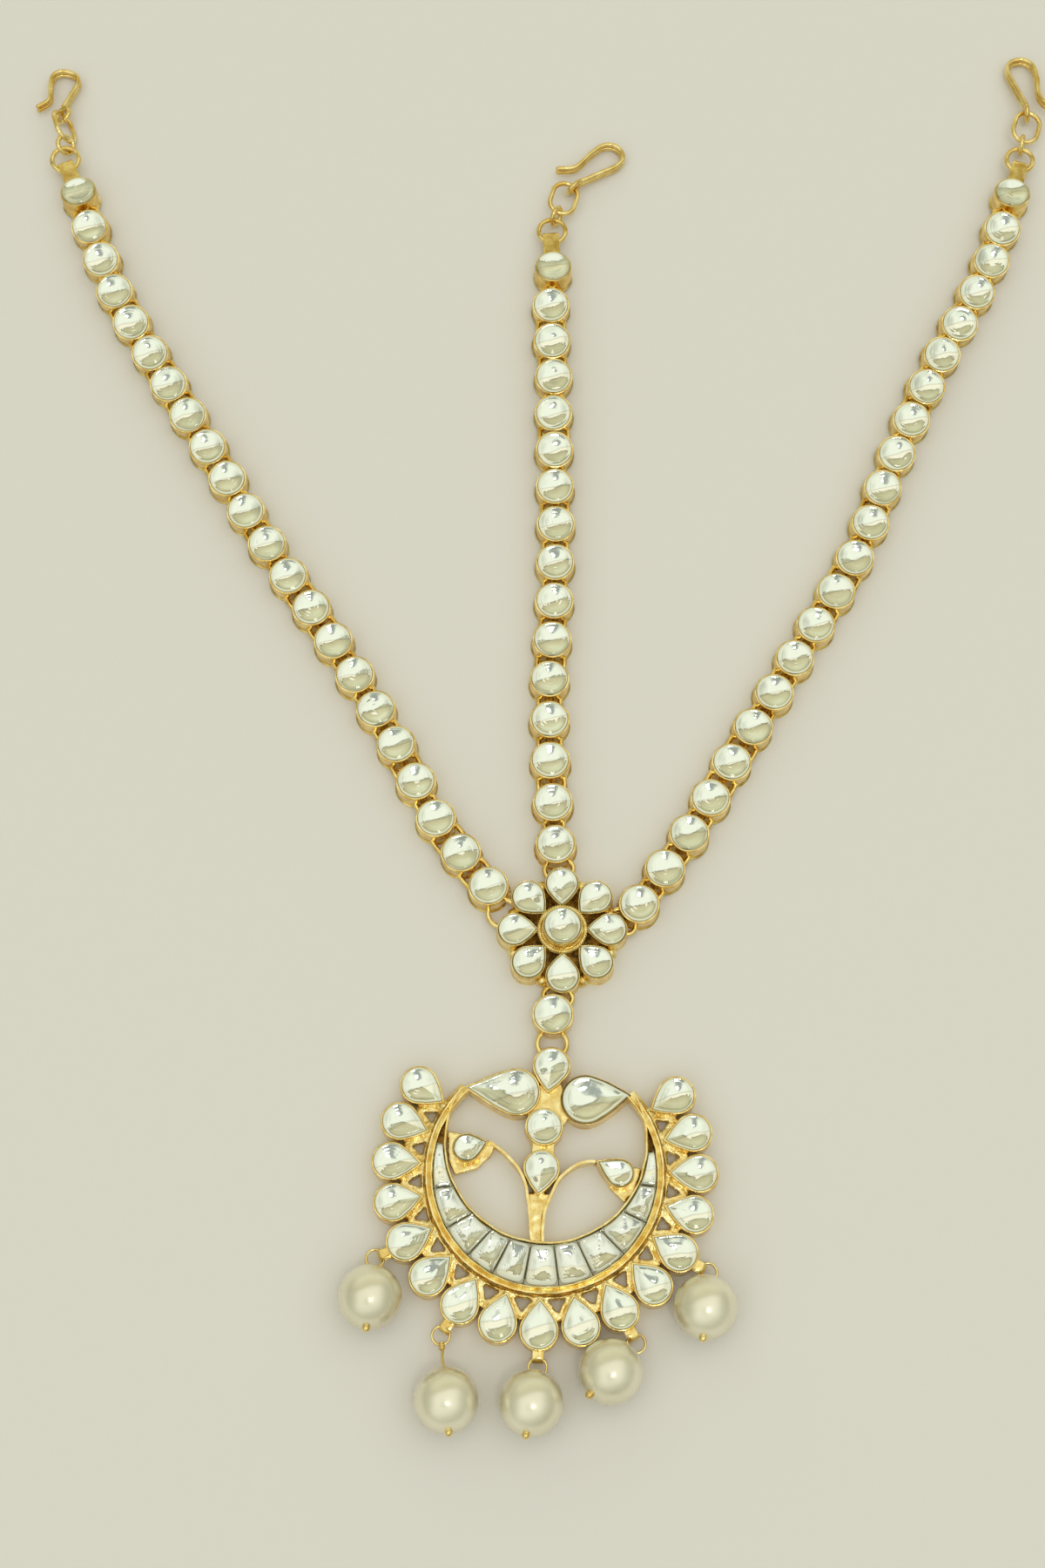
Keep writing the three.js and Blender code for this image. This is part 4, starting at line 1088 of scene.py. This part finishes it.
def buildDrop(number, drop):
    heading = pearDirections[drop["pear"]] + sizes["pendantTurn"]
    loopRadius = (bail["loop"] - bail["wire"]) / 2
    loopReach = bailStart + bail["sheet"] + bail["clearance"] + bail["wire"] / 2 + loopRadius
    loopCentre = pendantCentre + polar(loopReach, heading)
    centre = loopCentre + polar(drop["length"], drop["heading"])
    middle = Vector((centre.x, centre.y, pearl["radius"]))
    tiltAngle = math.radians(pearl["pinTilt"])
    flat = polar(math.cos(tiltAngle), drop["heading"])
    axis = Vector((flat.x, flat.y, math.sin(tiltAngle)))
    wire = bmesh.new()
    loop = [loopCentre + polar(loopRadius, 10 * i) for i in range(36)]
    addWire(wire, [Vector((p.x, p.y, bail["height"])) for p in loop], bail["wire"] / 2, closed=True)
    rim = loopCentre + polar(loopRadius, drop["heading"])
    start = Vector((rim.x, rim.y, bail["height"]))
    end = middle - axis * (pearl["radius"] * 0.9)
    # the wire into the pearl is a little bent
    bends = [start.lerp(end, i / 12) + Vector((pearl["wireBend"] * math.sin(i * 0.8), 0, 0))
             for i in range(1, 12)]
    addWire(wire, [start, *bends, end], bail["wire"] / 2)
    if drop["length"] > 10:  # the long wire is wound round itself at its loop
        away = (end - start).normalized()
        aside = away.cross(Vector((0, 0, 1))).normalized()
        up = aside.cross(away)
        coil = []
        for i in range(36):
            across = aside * math.cos(i * 0.6) + up * math.sin(i * 0.6)
            coil.append(start + away * (i * pearl["coilPitch"] - 0.3) + across * pearl["coilRadius"])
        addWire(wire, coil, pearl["coilWire"])
    head = ball(pearl["pinBall"], 20, 12)
    stamp(wire, head, Matrix.Translation(middle + axis * (pearl["radius"] + pearl["pinBall"] * 0.5)))
    collar = wireRing(pearl["collar"], pearl["collar"], pearl["collarWire"], steps=20, sides=8)
    upright = axis.to_track_quat("Z", "Y").to_matrix().to_4x4()
    stamp(wire, collar, Matrix.Translation(middle + axis * (pearl["radius"] + 0.02)) @ upright)
    finishPiece("drop_wire_" + str(number), wire, gold["wireGold"], "pearl_drop_" + str(number))
    bead = bmesh.new()
    sphere = ball(pearl["radius"], pearl["segments"], pearl["rings"])
    stamp(bead, sphere, Matrix.Translation(middle) @ upright)
    finishPiece("pearl_" + str(number), bead, pearlCoat, "pearl_drop_" + str(number))


for i, drop in enumerate(drops):
    buildDrop(i + 1, drop)
print("pearl drops are built")


# floor and light
studio = {
    "floorSize": 3, "floorPaint": {"Base Color": (0.86, 0.83, 0.80), "Roughness": 0.7},
    "strength": 1.0, "seamTurn": 0.11,
    "sky": [(0.0, (0.30, 0.30, 0.22)), (0.12, (0.45, 0.47, 0.37)), (0.22, (0.80, 0.84, 0.74)),
            (0.32, (1.0, 1.02, 0.93)), (0.665, (1.02, 1.03, 0.94)), (0.672, (0.12, 0.11, 0.06)),
            (0.69, (0.50, 0.47, 0.29)), (0.80, (0.66, 0.64, 0.44)), (0.90, (0.82, 0.84, 0.64)),
            (1.0, (0.56, 0.56, 0.42))],
    "sides": (0.34, 0.35, 0.26),
    "hole": {"colour": (0.33, 0.36, 0.35), "aim": (0, -0.342, 0.940), "size": 17, "core": 0.55},
    "lamp": {"colour": (12, 11.8, 11.2), "aim": (0.11, -0.28, 0.954), "size": 5, "core": 0.7},
}
bm = bmesh.new()
bmesh.ops.create_grid(bm, x_segments=1, y_segments=1, size=studio["floorSize"] / 2)
floor = objectOf("floor", bm)
floor.data.materials.append(principled("floor", **studio["floorPaint"])[0])


def lightTent():
    # bright cloth overhead, a seam, the warmer room beyond it, and the dark opening with a lamp in it
    world = bpy.data.worlds.new("tent")
    bpy.context.scene.world = world
    world.use_nodes = True
    tree = world.node_tree
    background = tree.nodes["Background"]
    direction = addNode(tree, "TexCoord").outputs["Generated"]
    apart = addNode(tree, "SeparateXYZ")
    tree.links.new(direction, apart.inputs[0])
    angle = mathNode(tree, "ARCTAN2", apart.outputs[1], apart.outputs[2])
    slope = mathNode(tree, "MULTIPLY", apart.outputs[0], -studio["seamTurn"])
    ramp = addNode(tree, "ValToRGB")
    position = mathNode(tree, "ADD", mathNode(tree, "DIVIDE", angle, math.pi), 0.5)
    tree.links.new(mathNode(tree, "ADD", position, slope), ramp.inputs[0])
    stops = ramp.color_ramp.elements
    while len(stops) < len(studio["sky"]):
        stops.new(0.5)
    for stop, (position, colour) in zip(stops, studio["sky"]):
        stop.position = position
        stop.color = (*colour, 1)
    sideways = mathNode(tree, "ABSOLUTE", apart.outputs[0])
    colour = mixColour(tree, rangeNode(tree, sideways, 0.5, 0.96), ramp.outputs[0], studio["sides"])
    for name in ("hole", "lamp"):
        light = studio[name]
        spot = addNode(tree, "VectorMath", operation="DOT_PRODUCT")
        tree.links.new(direction, spot.inputs[0])
        spot.inputs[1].default_value = Vector(light["aim"]).normalized()
        edge, full = (math.cos(math.radians(light["size"] * share)) for share in (1, light["core"]))
        inside = rangeNode(tree, spot.outputs["Value"], edge, full)
        colour = mixColour(tree, inside, colour, light["colour"])
    tree.links.new(colour, background.inputs["Color"])
    background.inputs["Strength"].default_value = studio["strength"]


lightTent()
print("floor and light are set")
